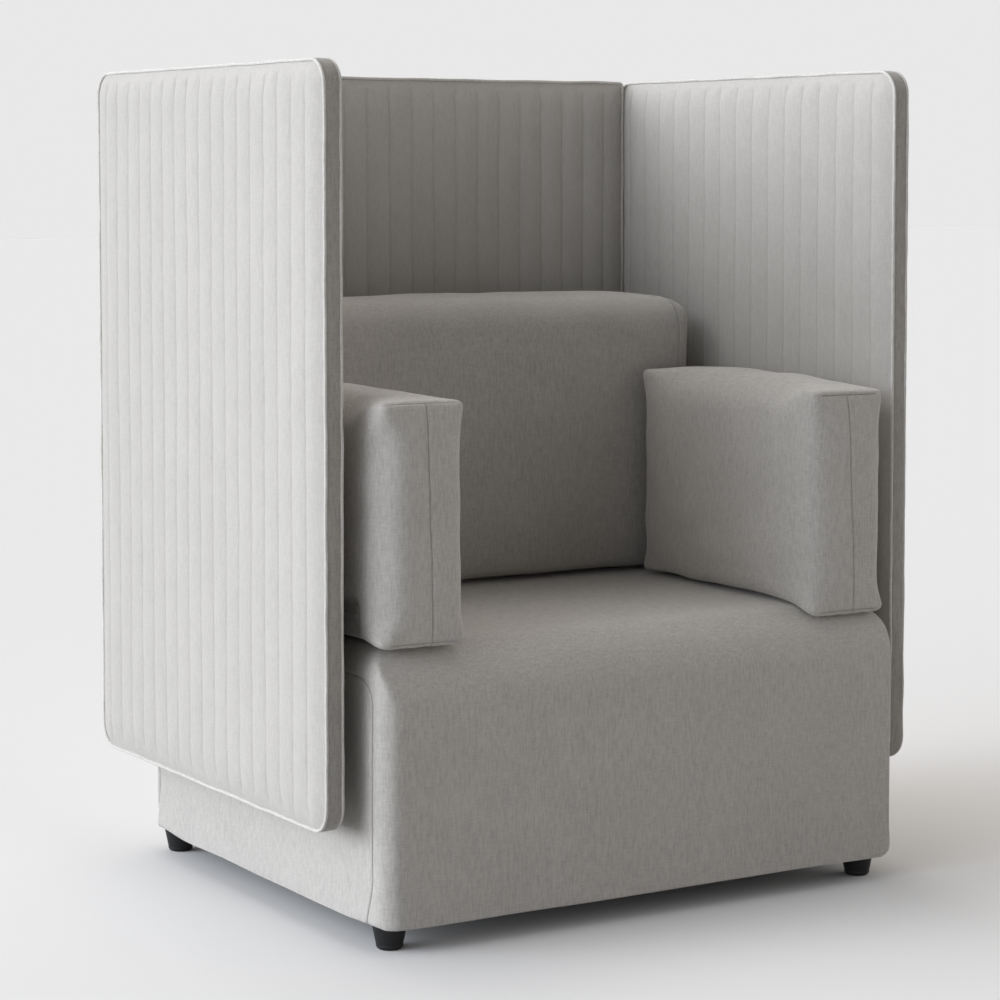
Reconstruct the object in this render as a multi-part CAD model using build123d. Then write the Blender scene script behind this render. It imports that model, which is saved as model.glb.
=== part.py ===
from build123d import *

import os

# Acoustic high back lounge chair. Millimetres, +X to the right seen from the front, +Y to the
# back, +Z up. The origin is on the floor under the middle of the chair's overall box.

# Driving dimensions: overall form
seat_height = 430.0
overall_height = 1255.0
screen_bottom = 168.0
base_width = 903.0
base_front = -417.0
base_rear = 358.0
base_bottom = 34.0

# Base form: large roll at the front of the seat, smaller shoulders at its sides
front_roll_radius = 90.0
shoulder_radius = 45.0
rear_roll_radius = 25.0
upright_corner_radius = 20.0
side_seam_setback = 20.0
side_seam_radius = 42.0
cover_thickness = 2.0

# Base frame
board_thickness = 18.0
side_padding = 8.0
front_padding = 25.0
post_size = 60.0
post_chamfer = 8.0
frame_top = 297.0
rail_top = 288.0
felt_thickness = 3.0
dust_cover_thickness = 1.5
centre_rail_height = 100.0
dowel_diameter = 10.0
dowel_length = 56.0
dowel_heights = (95.0, 235.0)

# Zigzag seat springs
spring_count = 6
spring_spacing = 130.0
spring_wire = 3.8
spring_width = 50.0
spring_half_wave = 26.0
spring_bend_radius = 9.0
spring_height = 292.0
clip_width = 18.0
clip_depth = 14.0

# Screens: a thin core with a border round its edge and a quilted cover on each face
side_screen_front = -364.0
side_screen_rear = 413.0
side_screen_centre = 500.0
back_screen_centre = 397.0
back_screen_width = 959.0
board_core_thickness = 12.0
core_thickness = 20.0
border_thickness = 2.0
piping_diameter = 5.0
side_screen_radius = 40.0
back_screen_radius = 10.0
quilt_thickness = 10.0
quilt_edge_thickness = 4.0
channel_depth = 3.0
side_outer_channels = 18
side_inner_channels = 17
back_channels = 22

# Fixings between the base and the screens
fixing_heights = (205.0, 275.0)
side_fixing_offset = 235.0
back_fixing_offset = 250.0
bolt_diameter = 8.0
bolt_head_diameter = 16.0
bolt_head_height = 5.0
spacer_diameter = 20.0
spacer_bore = 9.0
tee_nut_flange = 22.0
tee_nut_flange_thickness = 1.6
tee_nut_barrel = 10.0
hole_clearance = 0.4
corner_screw_heights = (300.0, 700.0, 1120.0)
corner_screw_diameter = 6.0
corner_screw_length = 62.0
corner_screw_head = 12.0
corner_screw_head_height = 3.0

# Loose cushions
rest_gap = 0.3
cushion_cover_thickness = 3.0
back_cushion_width = 850.0
back_cushion_front = 104.0
back_cushion_rear = 364.0
back_cushion_height = 453.0
back_cushion_radius = 35.0
arm_cushion_inner = 316.0
arm_cushion_outer = 436.0
arm_cushion_front = -391.0
arm_cushion_rear = 68.0
arm_cushion_height = 335.0
arm_cushion_radius = 20.0

# Zips of the cushion covers
zip_tape_width = 24.0
zip_tape_thickness = 1.5
zip_chain_width = 5.0
zip_chain_height = 2.0
zip_running_gap = 0.3
zip_slider_length = 12.0
zip_slider_wall = 2.0
zip_pull_length = 22.0
zip_height_above_base = 38.0
back_zip_length = 660.0
arm_zip_length = 300.0

# Levelling feet
foot_side_inset = 33.5
foot_front_inset = 47.0
foot_rear_inset = 32.0
foot_top_diameter = 50.0
foot_bottom_diameter = 30.0
foot_shoulder_diameter = 39.0
foot_shoulder_height = 7.0
stud_diameter = 8.0
stud_head_diameter = 16.0
stud_head_bottom = 10.0
stud_head_thickness = 4.0
stud_top = 62.0
insert_diameter = 12.0
insert_flange = 22.0
insert_top = 60.0
insert_bore = 8.6


def block(x0, x1, y0, y1, z0, z1):
    """Box between two opposite corners."""
    centre = ((x0 + x1) / 2, (y0 + y1) / 2, (z0 + z1) / 2)
    return Pos(*centre) * Box(abs(x1 - x0), abs(y1 - y0), abs(z1 - z0))


def rod(start, end, diameter):
    """Round bar between two points."""
    direction = Vector(*end) - Vector(*start)
    plane = Plane(origin=start, z_dir=direction)
    return extrude(plane * Circle(diameter / 2), direction.length)


def mirrored(shape):
    """The same piece on the other side of the chair."""
    return mirror(shape, about=Plane.YZ)


def group(pieces):
    """Separate pieces of one kind, kept as separate solids."""
    return Compound([solid for piece in pieces for solid in piece.solids()])


parts = {}

# ---------------------------------------------------------------------------
# Base: upholstered block with a wooden frame, springs, foam and covers
# ---------------------------------------------------------------------------


def base_form(inset):
    """Outer form of the base, drawn in by an inset all round except underneath."""
    half = base_width / 2 - inset
    front, rear, top = base_front + inset, base_rear - inset, seat_height - inset
    roll, back_roll = front_roll_radius - inset, rear_roll_radius - inset
    shoulder = shoulder_radius - inset
    side_view = Polyline(
        (front, base_bottom), (rear, base_bottom), (rear, top - back_roll),
    ) + RadiusArc((rear, top - back_roll), (rear - back_roll, top), -back_roll) + Line(
        (rear - back_roll, top), (front + roll, top)
    ) + RadiusArc((front + roll, top), (front, top - roll), -roll) + Line(
        (front, top - roll), (front, base_bottom)
    )
    front_view = Polyline(
        (-half, base_bottom), (half, base_bottom), (half, top - shoulder),
    ) + RadiusArc((half, top - shoulder), (half - shoulder, top), -shoulder) + Line(
        (half - shoulder, top), (shoulder - half, top)
    ) + RadiusArc((shoulder - half, top), (-half, top - shoulder), -shoulder) + Line(
        (-half, top - shoulder), (-half, base_bottom)
    )
    along_x = extrude(Plane.YZ * make_face(side_view), half, both=True)
    reach = max(abs(front), rear)
    along_y = extrude(Plane.XZ * make_face(front_view), reach, both=True)
    plan = RectangleRounded(2 * half, rear - front, upright_corner_radius - inset)
    plan_offset = Pos(0, (front + rear) / 2, base_bottom)
    upright = extrude(plan_offset * plan, top - base_bottom)
    return along_x & along_y & upright


base_half = base_width / 2
board_half = base_half - cover_thickness - side_padding
board_front = base_front + cover_thickness + front_padding
board_rear = base_rear - cover_thickness - side_padding
frame_bottom = base_bottom + dust_cover_thickness
foam_bottom = frame_top + felt_thickness
post_inner = board_half - post_size
foot_positions = {
    "front_left": (-(base_half - foot_side_inset), base_front + foot_front_inset),
    "front_right": (base_half - foot_side_inset, base_front + foot_front_inset),
    "rear_left": (-(base_half - foot_side_inset), base_rear - foot_rear_inset),
    "rear_right": (base_half - foot_side_inset, base_rear - foot_rear_inset),
}

outer_form = base_form(0)
inner_form = base_form(cover_thickness)


def side_panel_outline():
    """Side cover inside its seam: square below, rounded at the top front corner."""
    front, rear = base_front + side_seam_setback, base_rear - upright_corner_radius
    top, radius = seat_height - shoulder_radius, side_seam_radius
    outline = Polyline(
        (front, base_bottom), (rear, base_bottom), (rear, top), (front + radius, top)
    ) + RadiusArc((front + radius, top), (front, top - radius), -radius) + Line(
        (front, top - radius), (front, base_bottom)
    )
    return Plane.YZ * make_face(outline)


side_cover = Pos(base_half - cover_thickness, 0, 0) * extrude(side_panel_outline(), cover_thickness)
back_cover = block(
    upright_corner_radius - base_half, base_half - upright_corner_radius,
    base_rear - cover_thickness, base_rear,
    base_bottom, seat_height - rear_roll_radius,
)
side_fixings = [
    ((side_screen_front + side_screen_rear) / 2 + sign * side_fixing_offset, height)
    for sign in (-1, 1) for height in fixing_heights
]
back_fixings = [
    (sign * back_fixing_offset, height) for sign in (-1, 1) for height in fixing_heights
]


def fixing_bores(diameter):
    """Holes through the base sides and back, where the screens are bolted on."""
    sides = [
        rod((sign * post_inner, y, z), (sign * side_screen_centre, y, z), diameter)
        for sign in (-1, 1) for y, z in side_fixings
    ]
    backs = [
        rod((x, board_rear - post_size, z), (x, back_screen_centre, z), diameter)
        for x, z in back_fixings
    ]
    return group(sides + backs)


spacer_holes = fixing_bores(spacer_diameter + hole_clearance)
bolt_holes = fixing_bores(bolt_diameter + hole_clearance)

parts["base_side_cover_right"] = side_cover - spacer_holes
parts["base_side_cover_left"] = mirrored(side_cover) - spacer_holes
parts["base_back_cover"] = back_cover - spacer_holes
parts["seat_wrap_cover"] = outer_form - inner_form - side_cover - mirrored(side_cover) - back_cover

slab_reach = 2 * base_half
frame_block = block(-board_half, board_half, board_front, board_rear, frame_bottom, foam_bottom)
below_seat = block(-slab_reach, slab_reach, -slab_reach, slab_reach, frame_bottom, foam_bottom)
above_felt = block(-slab_reach, slab_reach, -slab_reach, slab_reach, foam_bottom, seat_height)
parts["base_padding"] = (inner_form & below_seat) - frame_block - spacer_holes
parts["seat_foam"] = inner_form & above_felt
parts["seat_felt"] = block(-board_half, board_half, board_front, board_rear, frame_top, foam_bottom)

# Underside sheet with a round opening for each foot insert
bottom_sheet = inner_form & block(
    -slab_reach, slab_reach, -slab_reach, slab_reach, base_bottom, frame_bottom
)
for foot_x, foot_y in foot_positions.values():
    opening = rod(
        (foot_x, foot_y, base_bottom), (foot_x, foot_y, frame_bottom), insert_flange + hole_clearance
    )
    bottom_sheet = bottom_sheet - opening
parts["dust_cover"] = bottom_sheet

# Wooden frame: four posts with rails and side boards dowelled between them
post_front_inner, post_rear_inner = board_front + post_size, board_rear - post_size
insert_holes = [
    rod((x, y, frame_bottom), (x, y, insert_top), insert_diameter)
    + rod((x, y, frame_bottom), (x, y, insert_top + post_size / 2), insert_bore)
    for x, y in foot_positions.values()
]


def dowels():
    """Dowels across every joint between a post and a rail or side board."""
    pegs = []
    half_length = dowel_length / 2
    board_middle = board_half - board_thickness / 2
    for height in dowel_heights:
        for sign in (-1, 1):
            for y in (post_front_inner, post_rear_inner):
                x = sign * board_middle
                start, end = (x, y - half_length, height), (x, y + half_length, height)
                pegs.append(rod(start, end, dowel_diameter))
            for y in (board_front + board_thickness / 2, board_rear - board_thickness / 2):
                x, z = sign * post_inner, height + 2 * dowel_diameter
                pegs.append(rod((x - half_length, y, z), (x + half_length, y, z), dowel_diameter))
    return pegs


frame_dowels = group(dowels())
posts = [
    block(sign * post_inner, sign * board_half, y0, y1, frame_bottom, frame_top)
    for sign in (-1, 1)
    for y0, y1 in ((board_front, post_front_inner), (post_rear_inner, board_rear))
]
# The posts' lowest outer edges are planed off, so that they stay inside the soft corners of the covers
planed_frame = block(-board_half, board_half, board_front, board_rear, frame_bottom, frame_top)
planed_frame = chamfer(planed_frame.edges().group_by(Axis.Z)[0], post_chamfer)
side_board = block(
    board_half - board_thickness, board_half,
    post_front_inner, post_rear_inner, frame_bottom, frame_top,
)
front_rail = block(
    -post_inner, post_inner, board_front, board_front + board_thickness, frame_bottom, rail_top
)
back_rail = block(
    -post_inner, post_inner, board_rear - board_thickness, board_rear, frame_bottom, rail_top
)
parts["base_corner_posts"] = group(
    [(post & planed_frame) - frame_dowels - group(insert_holes) for post in posts]
)
parts["base_side_board_right"] = side_board - frame_dowels - bolt_holes
parts["base_side_board_left"] = mirrored(side_board) - frame_dowels - bolt_holes
parts["base_front_rail"] = front_rail - frame_dowels
parts["base_back_rail"] = back_rail - frame_dowels - bolt_holes
parts["base_centre_rail"] = block(
    -board_thickness / 2, board_thickness / 2,
    board_front + board_thickness, board_rear - board_thickness,
    frame_bottom, frame_bottom + centre_rail_height,
)
parts["base_frame_dowels"] = frame_dowels

# Zigzag springs from the front rail to the back rail, each end held in a clip
spring_front = board_front + board_thickness / 2
spring_rear = board_rear - board_thickness / 2
spring_places = [
    (index - (spring_count - 1) / 2) * spring_spacing for index in range(spring_count)
]


def zigzag_spring(x):
    """One wire bent to a square wave with rounded corners."""
    waves = round((spring_rear - spring_front) / spring_half_wave)
    step = (spring_rear - spring_front) / waves
    points = []
    for index in range(waves + 1):
        y = spring_front + index * step
        near, far = (-1, 1) if index % 2 == 0 else (1, -1)
        points.append((x + near * spring_width / 2, y, spring_height))
        points.append((x + far * spring_width / 2, y, spring_height))
    path = FilletPolyline(*points, radius=spring_bend_radius)
    return sweep(Plane(origin=path @ 0, z_dir=path % 0) * Circle(spring_wire / 2), path=path)


def spring_clip(x, y):
    """Clip screwed on a rail, with a round slot for the end of the spring."""
    body = block(
        x - clip_width / 2, x + clip_width / 2, y - clip_depth / 2, y + clip_depth / 2,
        rail_top, frame_top,
    )
    slot = rod(
        (x - clip_width, y, spring_height), (x + clip_width, y, spring_height),
        spring_wire + hole_clearance,
    )
    return body - slot


parts["seat_springs"] = group([zigzag_spring(x) for x in spring_places])
parts["spring_clips"] = group(
    [spring_clip(x, y) for x in spring_places for y in (spring_front, spring_rear)]
)

# ---------------------------------------------------------------------------
# Screens. Each is drawn lying along X, with its outer face towards +Y
# ---------------------------------------------------------------------------
screen_height = overall_height - screen_bottom
screen_middle = (overall_height + screen_bottom) / 2
core_half = core_thickness / 2
board_core_half = board_core_thickness / 2


def screen_slab(length, radius, inset, y0, y1):
    """Upright slab with rounded corners, drawn in by an inset from the screen's edge."""
    outline = RectangleRounded(
        length - 2 * inset, screen_height - 2 * inset, radius - inset
    )
    plane = Plane(origin=(0, y0, screen_middle), x_dir=(1, 0, 0), z_dir=(0, 1, 0))
    return extrude(plane * outline, y1 - y0)


def screen_piping(length, corner_radius, y):
    """Round cord that runs along the whole edge of one face."""
    radius = piping_diameter / 2
    outline = RectangleRounded(
        length - piping_diameter, screen_height - piping_diameter, corner_radius - radius
    )
    plane = Plane(origin=(0, y, screen_middle), x_dir=(1, 0, 0), z_dir=(0, 1, 0))
    path = (plane * outline).face().outer_wire()
    return sweep(Plane(origin=path @ 0, z_dir=path % 0) * Circle(radius), path=path)


def quilted_cover(length, radius, channels):
    """Cover with upright sewn channels, flat towards the core and thinner at its two ends."""
    half = length / 2 - piping_diameter
    overhang = half + border_thickness
    pitch = 2 * half / channels
    edge_y = core_half + quilt_edge_thickness
    seam_y = core_half + quilt_thickness - channel_depth
    seams = [(index * pitch - half, seam_y) for index in range(1, channels)]
    ends = [(-overhang, edge_y), *seams, (overhang, edge_y)]
    outline = Polyline((overhang, edge_y), (overhang, core_half), (-overhang, core_half), ends[0])
    for index, (start, end) in enumerate(zip(ends, ends[1:])):
        edge_drop = channel_depth / 2 if index in (0, channels - 1) else 0
        crown_y = core_half + quilt_thickness - edge_drop
        outline += ThreePointArc(start, ((start[0] + end[0]) / 2, crown_y), end)
    ribs = extrude(Pos(0, 0, screen_bottom) * make_face(outline), screen_height)
    return ribs & screen_slab(length, radius, piping_diameter, 0, 2 * (core_half + quilt_thickness))


def screen_bores(offset, diameter, y0, y1):
    """Holes across the screen at its four fixings."""
    return [
        rod((sign * offset, y0, height), (sign * offset, y1, height), diameter)
        for sign in (-1, 1) for height in fixing_heights
    ]


def screen(length, radius, outer_channels, inner_channels, offset):
    """The separate pieces of one screen, by name."""
    sink = board_core_half + tee_nut_flange_thickness
    spacer_bores = group(
        screen_bores(offset, spacer_diameter + hole_clearance, -2 * core_half, -board_core_half)
    )
    barrel_bores = group(
        screen_bores(offset, tee_nut_barrel, -board_core_half, board_core_half)
    )
    flange_recesses = group(
        screen_bores(offset, tee_nut_flange, board_core_half, sink)
    )
    core_inset = border_thickness
    board = screen_slab(length, radius, core_inset, -board_core_half, board_core_half)
    outer_foam = screen_slab(length, radius, core_inset, board_core_half, core_half)
    inner_foam = screen_slab(length, radius, core_inset, -core_half, -board_core_half)
    border = screen_slab(length, radius, 0, -core_half, core_half) - screen_slab(
        length, radius, core_inset, -core_half, core_half
    )
    inner_cover = Rot(0, 0, 180) * quilted_cover(length, radius, inner_channels)
    piping_y = core_half + piping_diameter / 2
    return {
        "board": board - barrel_bores,
        "foam": group([outer_foam - flange_recesses, inner_foam - spacer_bores]),
        "border": border,
        "outer_cover": quilted_cover(length, radius, outer_channels),
        "inner_cover": inner_cover - spacer_bores,
        "piping": group([screen_piping(length, radius, y) for y in (piping_y, -piping_y)]),
    }


def screen_fixings(offset, board_face):
    """Bolt, spacer and tee nut at each fixing; board_face is the base board's outer face."""
    bolts, spacers, nuts = [], [], []
    board_inside = board_face - board_thickness
    for sign in (-1, 1):
        for height in fixing_heights:
            x = sign * offset

            def bar(y0, y1, diameter):
                return rod((x, y0, height), (x, y1, height), diameter)

            shank = bar(board_inside, board_core_half, bolt_diameter)
            head = bar(board_inside - bolt_head_height, board_inside, bolt_head_diameter)
            bolts.append(shank + head)
            spacer = bar(board_face, -board_core_half, spacer_diameter)
            spacers.append(spacer - bar(board_face, -board_core_half, spacer_bore))
            barrel = bar(-board_core_half, board_core_half, tee_nut_barrel)
            flange = bar(board_core_half, board_core_half + tee_nut_flange_thickness, tee_nut_flange)
            bore = bar(
                -board_core_half, board_core_half + tee_nut_flange_thickness,
                bolt_diameter + hole_clearance / 2,
            )
            nuts.append(barrel + flange - bore)
    return bolts, spacers, nuts


side_length = side_screen_rear - side_screen_front
side_middle = (side_screen_rear + side_screen_front) / 2
left_place = Pos(-side_screen_centre, side_middle, 0) * Rot(0, 0, 90)
right_place = Pos(side_screen_centre, side_middle, 0) * Rot(0, 0, -90)
back_place = Pos(0, back_screen_centre, 0)

# Holes for the screws that join the back screen to the side screens
corner_screws, corner_holes = [], []
screw_outside = side_screen_centre + board_core_half
for sign in (-1, 1):
    for height in corner_screw_heights:
        y = back_screen_centre
        outside = (sign * screw_outside, y, height)
        tip = (sign * (screw_outside - corner_screw_length), y, height)
        head_top = (sign * (screw_outside + corner_screw_head_height), y, height)
        shank = rod(tip, outside, corner_screw_diameter)
        head = rod(outside, head_top, corner_screw_head)
        corner_screws.append(shank + head)
        corner_holes.append(shank)
        corner_holes.append(head)
corner_cut = group(corner_holes)

side_pieces = screen(
    side_length, side_screen_radius, side_outer_channels, side_inner_channels, side_fixing_offset
)
back_pieces = screen(
    back_screen_width, back_screen_radius, back_channels, back_channels, back_fixing_offset
)
screen_sets = {
    "left": (left_place, side_pieces),
    "right": (right_place, side_pieces),
    "back": (back_place, back_pieces),
}
screwed_pieces = ("board", "foam", "border", "inner_cover")
for side, (place, pieces) in screen_sets.items():
    for piece_name, piece in pieces.items():
        placed = place * piece
        if piece_name in screwed_pieces:
            placed = group([solid - corner_cut for solid in placed.solids()])
        parts[f"{side}_screen_{piece_name}"] = placed
parts["screen_corner_screws"] = group(corner_screws)

all_bolts, all_spacers, all_nuts = [], [], []
side_reach = board_half - side_screen_centre
back_reach = board_rear - back_screen_centre
for place, offset, face in (
    (left_place, side_fixing_offset, side_reach),
    (right_place, side_fixing_offset, side_reach),
    (back_place, back_fixing_offset, back_reach),
):
    bolts, spacers, nuts = screen_fixings(offset, face)
    all_bolts += [place * bolt for bolt in bolts]
    all_spacers += [place * spacer for spacer in spacers]
    all_nuts += [place * nut for nut in nuts]
parts["screen_bolts"] = group(all_bolts)
parts["screen_spacers"] = group(all_spacers)
parts["screen_tee_nuts"] = group(all_nuts)

# ---------------------------------------------------------------------------
# Loose cushions, each a filled core in a zipped cover
# ---------------------------------------------------------------------------
cushion_bottom = seat_height + rest_gap


def cushion_form(x0, x1, y0, y1, height, radius, inset):
    """Cushion with rounded edges, drawn in by an inset all round."""
    form = block(
        x0 + inset, x1 - inset, y0 + inset, y1 - inset,
        cushion_bottom + inset, cushion_bottom + height - inset,
    )
    return fillet(form.edges(), radius - inset)


def cushion(name, x0, x1, y0, y1, height, radius):
    """Adds the filled core and the hollow cover of one cushion."""
    outside = cushion_form(x0, x1, y0, y1, height, radius, 0)
    inside = cushion_form(x0, x1, y0, y1, height, radius, cushion_cover_thickness)
    parts[f"{name}_cushion_core"] = inside
    parts[f"{name}_cushion_cover"] = outside - inside


def zip_pieces(length):
    """Zip lying along X on a face that looks towards +Z: its tape with teeth, and its slider."""
    half = length / 2
    chain_top = zip_tape_thickness + zip_chain_height
    tape = block(-half, half, -zip_tape_width / 2, zip_tape_width / 2, 0, zip_tape_thickness)
    chain = block(
        -half, half, -zip_chain_width / 2, zip_chain_width / 2, zip_tape_thickness, chain_top
    )
    gap, wall = zip_running_gap, zip_slider_wall
    outer_half = zip_chain_width / 2 + gap + wall
    start = -half + zip_slider_length
    end = start + zip_slider_length
    body = block(
        start, end, -outer_half, outer_half, zip_tape_thickness + gap, chain_top + gap + wall
    )
    channel = block(
        start, end, -zip_chain_width / 2 - gap, zip_chain_width / 2 + gap,
        zip_tape_thickness, chain_top + gap,
    )
    pull = block(
        start - zip_pull_length + zip_slider_length / 2, start,
        -zip_chain_width / 2, zip_chain_width / 2, chain_top + gap, chain_top + gap + wall,
    )
    return tape + chain, body - channel + pull


cushion(
    "back", -back_cushion_width / 2, back_cushion_width / 2,
    back_cushion_front, back_cushion_rear, back_cushion_height, back_cushion_radius,
)
cushion(
    "right_arm", arm_cushion_inner, arm_cushion_outer,
    arm_cushion_front, arm_cushion_rear, arm_cushion_height, arm_cushion_radius,
)
cushion(
    "left_arm", -arm_cushion_outer, -arm_cushion_inner,
    arm_cushion_front, arm_cushion_rear, arm_cushion_height, arm_cushion_radius,
)

zip_z = cushion_bottom + zip_height_above_base
arm_middle = (arm_cushion_front + arm_cushion_rear) / 2
zip_planes = {
    "back": (
        Plane(origin=(0, back_cushion_rear, zip_z), x_dir=(1, 0, 0), z_dir=(0, 1, 0)),
        back_zip_length,
    ),
    "right_arm": (
        Plane(origin=(arm_cushion_outer, arm_middle, zip_z), x_dir=(0, -1, 0), z_dir=(1, 0, 0)),
        arm_zip_length,
    ),
    "left_arm": (
        Plane(origin=(-arm_cushion_outer, arm_middle, zip_z), x_dir=(0, -1, 0), z_dir=(-1, 0, 0)),
        arm_zip_length,
    ),
}
for name, (plane, length) in zip_planes.items():
    tape, slider = zip_pieces(length)
    parts[f"{name}_cushion_zip"] = plane.location * tape
    parts[f"{name}_cushion_zip_slider"] = plane.location * slider

# ---------------------------------------------------------------------------
# Levelling feet: a moulded foot that turns on a stud, screwed into an insert in the post
# ---------------------------------------------------------------------------
foot_top = base_bottom - rest_gap
head_top = stud_head_bottom + stud_head_thickness


def foot_pad():
    """Tapered foot with a socket that holds the head of the stud."""
    half_bottom, half_shoulder = foot_bottom_diameter / 2, foot_shoulder_diameter / 2
    outline = Line((0, 0), (half_bottom, 0))
    outline += ThreePointArc(
        (half_bottom, 0),
        (half_bottom + 0.72 * (half_shoulder - half_bottom), 0.3 * foot_shoulder_height),
        (half_shoulder, foot_shoulder_height),
    )
    outline += Polyline(
        (half_shoulder, foot_shoulder_height), (foot_top_diameter / 2, foot_top),
        (0, foot_top), (0, 0),
    )
    body = revolve(Plane.XZ * make_face(outline), Axis.Z)
    socket_gap = rest_gap
    socket = rod(
        (0, 0, stud_head_bottom - socket_gap), (0, 0, head_top + socket_gap),
        stud_head_diameter + 2 * socket_gap,
    )
    neck = rod((0, 0, head_top), (0, 0, foot_top), stud_diameter + 2 * socket_gap)
    return body - socket - neck


def foot_stud():
    """Stud with a round head; it screws up into the insert."""
    head = rod((0, 0, stud_head_bottom), (0, 0, head_top), stud_head_diameter)
    shank = rod((0, 0, head_top), (0, 0, stud_top), stud_diameter)
    return head + shank


def foot_insert():
    """Flanged insert driven into the post from below."""
    flange = rod((0, 0, base_bottom), (0, 0, frame_bottom), insert_flange)
    barrel = rod((0, 0, frame_bottom), (0, 0, insert_top), insert_diameter)
    return flange + barrel - rod((0, 0, base_bottom), (0, 0, insert_top), insert_bore)


inserts = []
for name, (x, y) in foot_positions.items():
    parts[f"foot_pad_{name}"] = Pos(x, y, 0) * foot_pad()
    parts[f"foot_stud_{name}"] = Pos(x, y, 0) * foot_stud()
    inserts.append(Pos(x, y, 0) * foot_insert())
parts["foot_inserts"] = group(inserts)

os.makedirs("parts", exist_ok=True)
for name, shape in parts.items():
    export_step(shape, f"parts/{name}.step")
    print(f"{name}: {len(shape.solids())} solid(s), {shape.volume / 1000:.1f} cm3")
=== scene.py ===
"""Looks of an acoustic high back lounge chair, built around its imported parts.

Everything is in metres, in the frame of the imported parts: +X to the right seen from the front, +Y to
the back, +Z up, with the origin on the floor under the middle of the chair.
"""
import logging
import math
from collections.abc import Callable
from dataclasses import dataclass, field
from enum import Enum
from functools import cache

import bpy
import numpy as np
from mathutils import Matrix, Vector


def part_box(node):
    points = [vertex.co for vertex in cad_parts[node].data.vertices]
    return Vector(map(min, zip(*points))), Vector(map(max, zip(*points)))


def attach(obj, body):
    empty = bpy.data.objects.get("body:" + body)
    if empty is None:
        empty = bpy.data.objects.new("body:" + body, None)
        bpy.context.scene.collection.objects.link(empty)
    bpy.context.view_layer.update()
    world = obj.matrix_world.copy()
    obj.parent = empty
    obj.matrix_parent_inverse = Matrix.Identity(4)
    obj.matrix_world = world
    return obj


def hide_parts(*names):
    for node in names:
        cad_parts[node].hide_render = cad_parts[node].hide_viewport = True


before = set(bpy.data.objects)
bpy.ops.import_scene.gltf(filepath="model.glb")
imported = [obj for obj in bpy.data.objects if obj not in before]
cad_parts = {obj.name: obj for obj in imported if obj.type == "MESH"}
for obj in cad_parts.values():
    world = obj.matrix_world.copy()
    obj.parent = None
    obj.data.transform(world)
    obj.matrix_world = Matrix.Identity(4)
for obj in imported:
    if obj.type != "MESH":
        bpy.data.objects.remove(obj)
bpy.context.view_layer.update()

MM = 0.001
NO_SEAM = 1.0  # distance kept where a piece has no seam
HALVINGS = 26
LOG = logging.getLogger("lounge_chair")


# ---------------------------------------------------------------------------
# Numbers over space
# ---------------------------------------------------------------------------


def smooth_step(value: np.ndarray, low: float, high: float) -> np.ndarray:
    """Eases from 0 to 1.

    Args:
        value: numbers to ease.
        low: where the result leaves 0.
        high: where the result reaches 1.

    Returns:
        Eased numbers of the same shape.
    """
    share = np.clip((value - low) / (high - low), 0.0, 1.0)
    return share * share * (3.0 - 2.0 * share)


def smooth_max(first: np.ndarray, second: np.ndarray, radius: float) -> np.ndarray:
    """Larger of two distances, with the crease between them rounded.

    Args:
        first: distances to one surface.
        second: distances to the other surface.
        radius: how wide the rounding is.

    Returns:
        Blended distances.
    """
    share = np.clip(0.5 + 0.5 * (first - second) / radius, 0.0, 1.0)
    return second * (1 - share) + first * share + radius * share * (1 - share)


def rounded_distance(
    u: np.ndarray, v: np.ndarray, low: tuple, high: tuple, radius: np.ndarray | float
) -> np.ndarray:
    """Signed distance to a rounded rectangle, negative inside it.

    Args:
        u: first coordinate of each point.
        v: second coordinate of each point.
        low: lowest corner (u, v) of the rectangle.
        high: highest corner (u, v) of the rectangle.
        radius: corner radius, one for all points or one for each.

    Returns:
        One distance for each point.
    """
    across = np.abs(u - (low[0] + high[0]) / 2) - (high[0] - low[0]) / 2 + radius
    along = np.abs(v - (low[1] + high[1]) / 2) - (high[1] - low[1]) / 2 + radius
    outside = np.hypot(np.maximum(across, 0.0), np.maximum(along, 0.0))
    return np.minimum(np.maximum(across, along), 0.0) + outside - radius


def line_places(low: float, high: float, zones: list[tuple[float, float, float]]) -> np.ndarray:
    """Grid lines between two limits, closer together in some zones.

    Args:
        low: first line.
        high: last line.
        zones: (start, end, spacing) of each zone, in order and touching.

    Returns:
        Places of the lines, from low to high.
    """
    places = [low]
    for start, end, spacing in zones:
        count = max(1, round((end - start) / spacing))
        places += list(np.linspace(start, end, count + 1)[1:])
    places[-1] = high
    return np.array(places)


def bell(distance: np.ndarray, spread: float) -> np.ndarray:
    """Bell curve: 1 at no distance, near 0 at twice the spread.

    Args:
        distance: distances, of either sign.
        spread: where the curve has fallen to about a third.

    Returns:
        Heights of the curve.
    """
    return np.exp(-((distance / spread) ** 2))


class Ripple:
    """Repeatable unevenness of cloth: many seeded waves added together."""

    def __init__(self, seed: int, wavelength: tuple[float, float, float], count: int = 20) -> None:
        """Draws the waves.

        Args:
            seed: number that fixes the draw.
            wavelength: typical wavelength along each axis, in metres.
            count: number of waves.
        """
        draw = np.random.default_rng(seed)
        directions = draw.normal(size=(count, 3))
        directions /= np.linalg.norm(directions, axis=1, keepdims=True)
        stretch = draw.uniform(0.6, 1.5, size=(count, 1))
        self.waves = 2 * math.pi * directions * stretch / np.array(wavelength)
        self.phases = draw.uniform(0, 2 * math.pi, count)
        self.share = math.sqrt(2.0 / count)

    def at(self, points: np.ndarray) -> np.ndarray:
        """Unevenness at each point, mostly between -2 and 2."""
        return np.sin(points @ self.waves.T + self.phases).sum(axis=1) * self.share


# ---------------------------------------------------------------------------
# Meshes
# ---------------------------------------------------------------------------


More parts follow.
